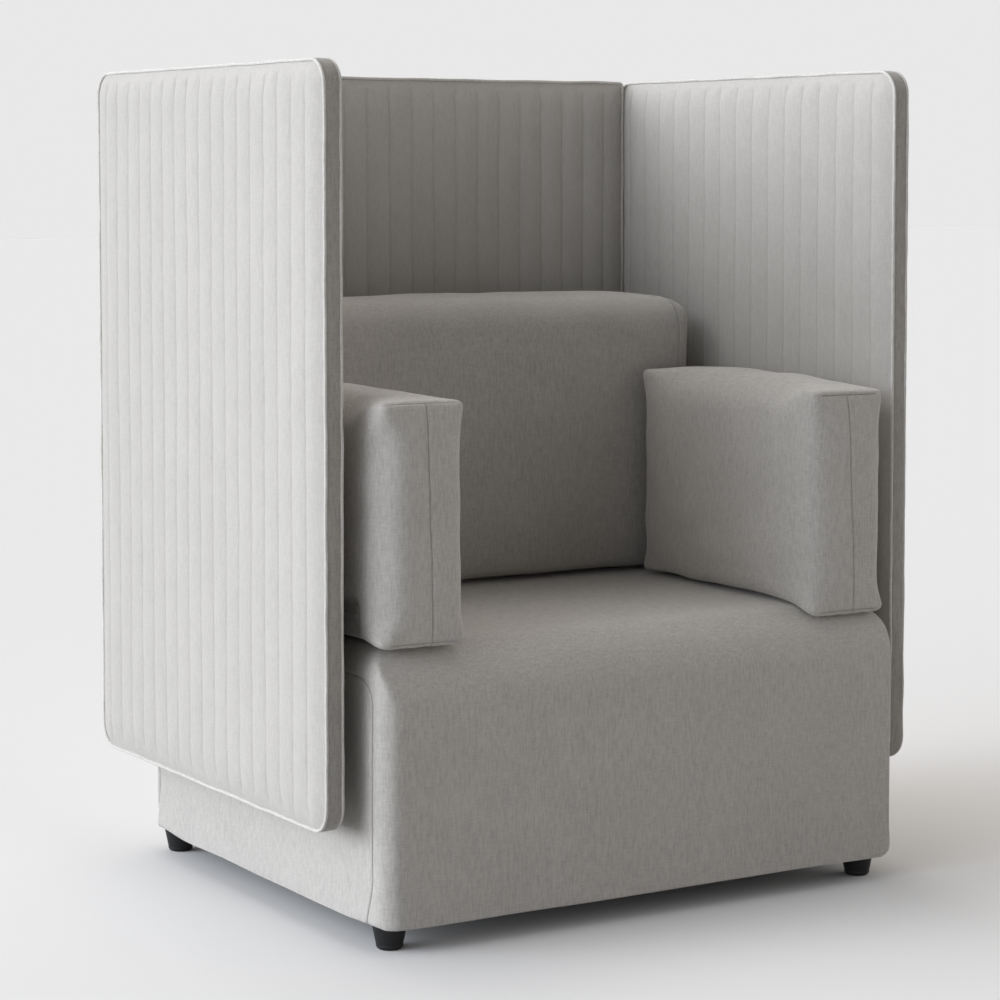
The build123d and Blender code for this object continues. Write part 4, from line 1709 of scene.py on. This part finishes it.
@dataclass
class ArmCushion(LooseCushion):
    """Narrow cushion beside the sitter, with an upright seam at each end and boxed corners."""

    lean_top: float = 0.0
    lean_bottom: float = 0.0
    droop: float = 0.0
    top_droop: float = 0.0
    outer_edge: float = 25 * MM
    inner_edge: float = 25 * MM
    end_edge: float = 9 * MM
    corner_sharpness: float = 0.56
    corner_seam: float = 30 * MM
    ear: float = 5 * MM
    ear_spread: float = 26 * MM

    def edges(self, points: np.ndarray) -> tuple:
        """Radii of the edges: soft along the sides, sharp at the boxed corners of both ends."""
        x, y, z = points.T
        from_end = np.minimum(y - self.low.y, self.high.y - y)
        from_level = np.minimum(z - self.low.z, self.high.z - z)
        near_end = 1 - smooth_step(from_end, 4 * MM, 95 * MM)
        near_corner = 1 - smooth_step(from_level, 4 * MM, 48 * MM)
        upper = z > (self.low.z + self.high.z) / 2
        along_y = np.where(upper, 46 * MM - 38 * MM * near_end, 24 * MM - 17 * MM * near_end)
        outside = np.abs(x) > abs(self.low.x + self.high.x) / 2
        along_z = np.where(outside, self.outer_edge, self.inner_edge)
        return along_y, self.end_edge, along_z * (1 - self.corner_sharpness * near_corner)

    def seated(self, shape: Shape) -> Shape:
        """Lets the front hang over the roll of the seat before the cushion is pressed flat."""
        points = shape.points
        forward = smooth_step(-points[:, 1], -self.low.y - 190 * MM, -self.low.y + 10 * MM)
        share = smooth_step(points[:, 2], self.low.z, self.high.z)
        points[:, 2] -= (self.droop + (self.top_droop - self.droop) * share) * forward
        return super().seated(shape)

    def eared(self, points: np.ndarray) -> np.ndarray:
        """Draws the boxed corners out to a soft point, sideways and at the top also upwards.

        Args:
            points: places on the seated cushion.

        Returns:
            The places after the corners are drawn out.
        """
        low, high = points.min(axis=0), points.max(axis=0)
        middle = (low + high) / 2
        from_corner = np.linalg.norm(np.abs(points - middle) - (high - low) / 2, axis=1)
        away = np.sign(points - middle)
        away[:, 2] = np.maximum(away[:, 2], 0.0) * 0.5
        return points + away * (self.ear * np.exp(-((from_corner / self.ear_spread) ** 2)))[:, None]

    def sewn(self, shape: Shape) -> Shape:
        """Adds the upright end seams and the short seams of the boxed corners."""
        shape.points = self.eared(shape.points)
        x, y, z = shape.points.T
        facing = np.abs(shape.normals()[:, 1])
        share = (z - self.low.z) / (self.high.z - self.low.z)
        middle = (self.low.x + self.high.x) / 2 + self.lean_bottom * (1 - share) + self.lean_top * share
        upright = np.where(facing > 0.35, x - middle, NO_SEAM)
        front, rear, bottom, top = y.min(), y.max(), z.min(), z.max()
        from_end = np.minimum(y - front, rear - y)
        from_side = (self.high.x - self.low.x) / 2 - np.abs(x - (self.low.x + self.high.x) / 2)
        near_end = (from_end < self.corner_seam) & (from_side > 6 * MM)
        top_edge, low_edge = z - (top - self.droop) + from_end, z - bottom - from_end
        nearest = np.where(z > (top + bottom) / 2, top_edge, low_edge) / math.sqrt(2)
        absent = np.full(len(x), NO_SEAM)
        corner = np.where(near_end, nearest, NO_SEAM)
        return self.creased(shape, np.stack([upright, corner, absent], axis=1))


# ---------------------------------------------------------------------------
# Studio
# ---------------------------------------------------------------------------


@dataclass(frozen=True)
class Glow:
    """Soft patch of light in the surroundings, brightest in one direction."""

    azimuth: float
    elevation: float
    strength: float
    colour: tuple[float, float, float]
    tightness: float = 10.0

    def towards(self) -> Vector:
        """Direction of the brightest place."""
        turn, rise = math.radians(self.azimuth), math.radians(self.elevation)
        return Vector((math.cos(turn) * math.cos(rise), math.sin(turn) * math.cos(rise), math.sin(rise)))

    def seen(self, sheet: NodeSheet, way: bpy.types.NodeSocket) -> bpy.types.NodeSocket:
        """Light that comes from a direction.

        Args:
            sheet: tree of the surroundings.
            way: direction that is looked in.

        Returns:
            Socket with the colour of the light.
        """
        facing = sheet.vectors("DOT_PRODUCT", way, self.towards())
        fade = sheet.maths("MULTIPLY", sheet.maths("SUBTRACT", facing, 1.0), self.tightness)
        amount = sheet.maths("MULTIPLY", sheet.maths("EXPONENT", fade), self.strength)
        return sheet.tinted(self.colour, amount)


COOL_LIGHT = (0.955, 1.0, 1.07)
WARM_LIGHT = (1.045, 1.0, 0.955)
GLOWS = (
    Glow(150.0, 8.0, 2.4, COOL_LIGHT), Glow(165.0, 8.0, 2.5, COOL_LIGHT), Glow(180.0, 8.0, 3.2, COOL_LIGHT),
    Glow(120.0, 8.0, 0.4, COOL_LIGHT), Glow(210.0, 8.0, 0.5, COOL_LIGHT), Glow(315.0, 8.0, 1.35, WARM_LIGHT),
    Glow(0.0, 8.0, 1.8, WARM_LIGHT), Glow(90.0, 60.0, 2.6, WARM_LIGHT),
)


def grey(level: float) -> tuple[float, float, float, float]:
    """Neutral colour with full cover."""
    return (level, level, level, 1.0)


@dataclass
class Studio:
    """Plain pale floor, soft light from the left and the camera."""

    camera_place: tuple[float, float, float] = (-2.3757, -3.8942, 1.0984)
    camera_turn: float = -31.274
    camera_tilt: float = 3.8
    lens: float = 104.07
    sensor: float = 36.0
    shift: float = -0.1376
    backdrop: float = 0.811
    floor_seen: float = 0.9
    floor_bounce: float = 0.42
    floor_size: float = 80.0
    lamp_energy: float = 0.63
    lamp_angle: float = 40.0

    def camera(self) -> None:
        """Sets the camera at the angle of the photograph."""
        data = bpy.data.cameras.new("camera")
        data.lens, data.sensor_width, data.shift_y = self.lens, self.sensor, self.shift
        data.clip_start, data.clip_end = 0.1, 200.0
        made = bpy.data.objects.new("camera", data)
        bpy.context.scene.collection.objects.link(made)
        turn, tilt = math.radians(self.camera_turn), math.radians(self.camera_tilt)
        back = Vector((math.sin(turn) * math.cos(tilt), -math.cos(turn) * math.cos(tilt), math.sin(tilt)))
        right = Vector((math.cos(turn), math.sin(turn), 0.0))
        up = back.cross(right)
        axes = Matrix((right, up, back)).transposed().to_4x4()
        made.matrix_world = Matrix.Translation(self.camera_place) @ axes
        bpy.context.scene.camera = made

    def floor(self) -> None:
        """Lays a pale floor that meets the backdrop without an edge."""
        half = self.floor_size / 2
        mesh = bpy.data.meshes.new("floor")
        corners = [(-half, -half, 0), (half, -half, 0), (half, half, 0), (-half, half, 0)]
        mesh.from_pydata(corners, [], [(0, 1, 2, 3)])
        material = bpy.data.materials.new("floor_paint")
        material.use_nodes = True
        material.node_tree.nodes.clear()
        sheet = NodeSheet(material.node_tree)
        seen = sheet.shader("ShaderNodeBsdfDiffuse", grey(self.floor_seen))
        bounce = sheet.shader("ShaderNodeBsdfDiffuse", grey(self.floor_bounce))
        by_camera = sheet.add("ShaderNodeLightPath").outputs["Is Camera Ray"]
        output = sheet.add("ShaderNodeOutputMaterial").inputs["Surface"]
        sheet.feed(output, sheet.mixed(by_camera, bounce, seen))
        mesh.materials.append(material)
        made = bpy.data.objects.new("floor", mesh)
        bpy.context.scene.collection.objects.link(made)

    def light(self) -> None:
        """Hangs one broad lamp at the left, in the middle of the brightest surroundings."""
        data = bpy.data.lights.new("window_light", "SUN")
        data.energy, data.angle, data.color = self.lamp_energy, math.radians(self.lamp_angle), COOL_LIGHT
        made = bpy.data.objects.new("window_light", data)
        bpy.context.scene.collection.objects.link(made)
        made.rotation_mode = "QUATERNION"
        made.rotation_quaternion = GLOWS[1].towards().to_track_quat("Z", "Y")

    def world(self) -> None:
        """Soft surrounding light and a plain backdrop behind the chair."""
        world = bpy.data.worlds.new("studio")
        world.use_nodes = True
        world.node_tree.nodes.clear()
        sheet = NodeSheet(world.node_tree)
        way = sheet.add("ShaderNodeTexCoord").outputs["Generated"]
        total = GLOWS[0].seen(sheet, way)
        for glow in GLOWS[1:]:
            total = sheet.vectors("ADD", total, glow.seen(sheet, way))
        soft = sheet.shader("ShaderNodeBackground", total)
        plain = sheet.shader("ShaderNodeBackground", grey(self.backdrop))
        rays = sheet.add("ShaderNodeLightPath").outputs
        seen = sheet.maths("ADD", rays["Is Camera Ray"], rays["Is Glossy Ray"])
        seen = sheet.maths("ADD", seen, rays["Is Transmission Ray"], clamp=True)
        output = sheet.add("ShaderNodeOutputWorld").inputs["Surface"]
        sheet.feed(output, sheet.mixed(seen, soft, plain))
        bpy.context.scene.world = world

    def build(self) -> None:
        """Sets up floor, light, surroundings and camera."""
        self.floor()
        self.light()
        self.world()
        self.camera()
        bpy.context.scene.view_settings.view_transform = "Standard"


# ---------------------------------------------------------------------------
# The chair
# ---------------------------------------------------------------------------


def main() -> None:
    """Builds the chair part by part, then the studio around it."""
    logging.basicConfig(level=logging.INFO, format="%(name)s %(message)s")
    Studio().build()
    UpholsteredBase().build()
    QuiltedScreen(Side.LEFT, 40 * MM, 18, 17, seed=1).build()
    QuiltedScreen(Side.RIGHT, 40 * MM, 18, 17, seed=2).build()
    QuiltedScreen(Side.BACK, 10 * MM, 22, 22, seed=3).build()
    BackCushion("back", voxel=6 * MM, crown=Vector((6, 6, 4)) * MM, seed=70,
                spare_low=Vector((5, 5, 0)) * MM, spare_high=Vector((5, -6, 4)) * MM).build()
    arm_crown = Vector((6, 4, 9)) * MM
    ArmCushion("left_arm", voxel=6 * MM, crown=arm_crown, seed=80,
               spare_low=Vector((8, 8, 0)) * MM, spare_high=Vector((8, 6, 12)) * MM,
               lean_top=4.5 * MM, lean_bottom=14.4 * MM, droop=3 * MM, outer_edge=48 * MM).build()
    ArmCushion("right_arm", voxel=6 * MM, crown=arm_crown, seed=90,
               spare_low=Vector((8, 8, 0)) * MM, spare_high=Vector((8, 6, 6)) * MM,
               lean_top=-5.4 * MM, lean_bottom=10 * MM, droop=17 * MM, top_droop=8 * MM).build()
    dress_packed_nodes()


if __name__ == "__main__":
    main()
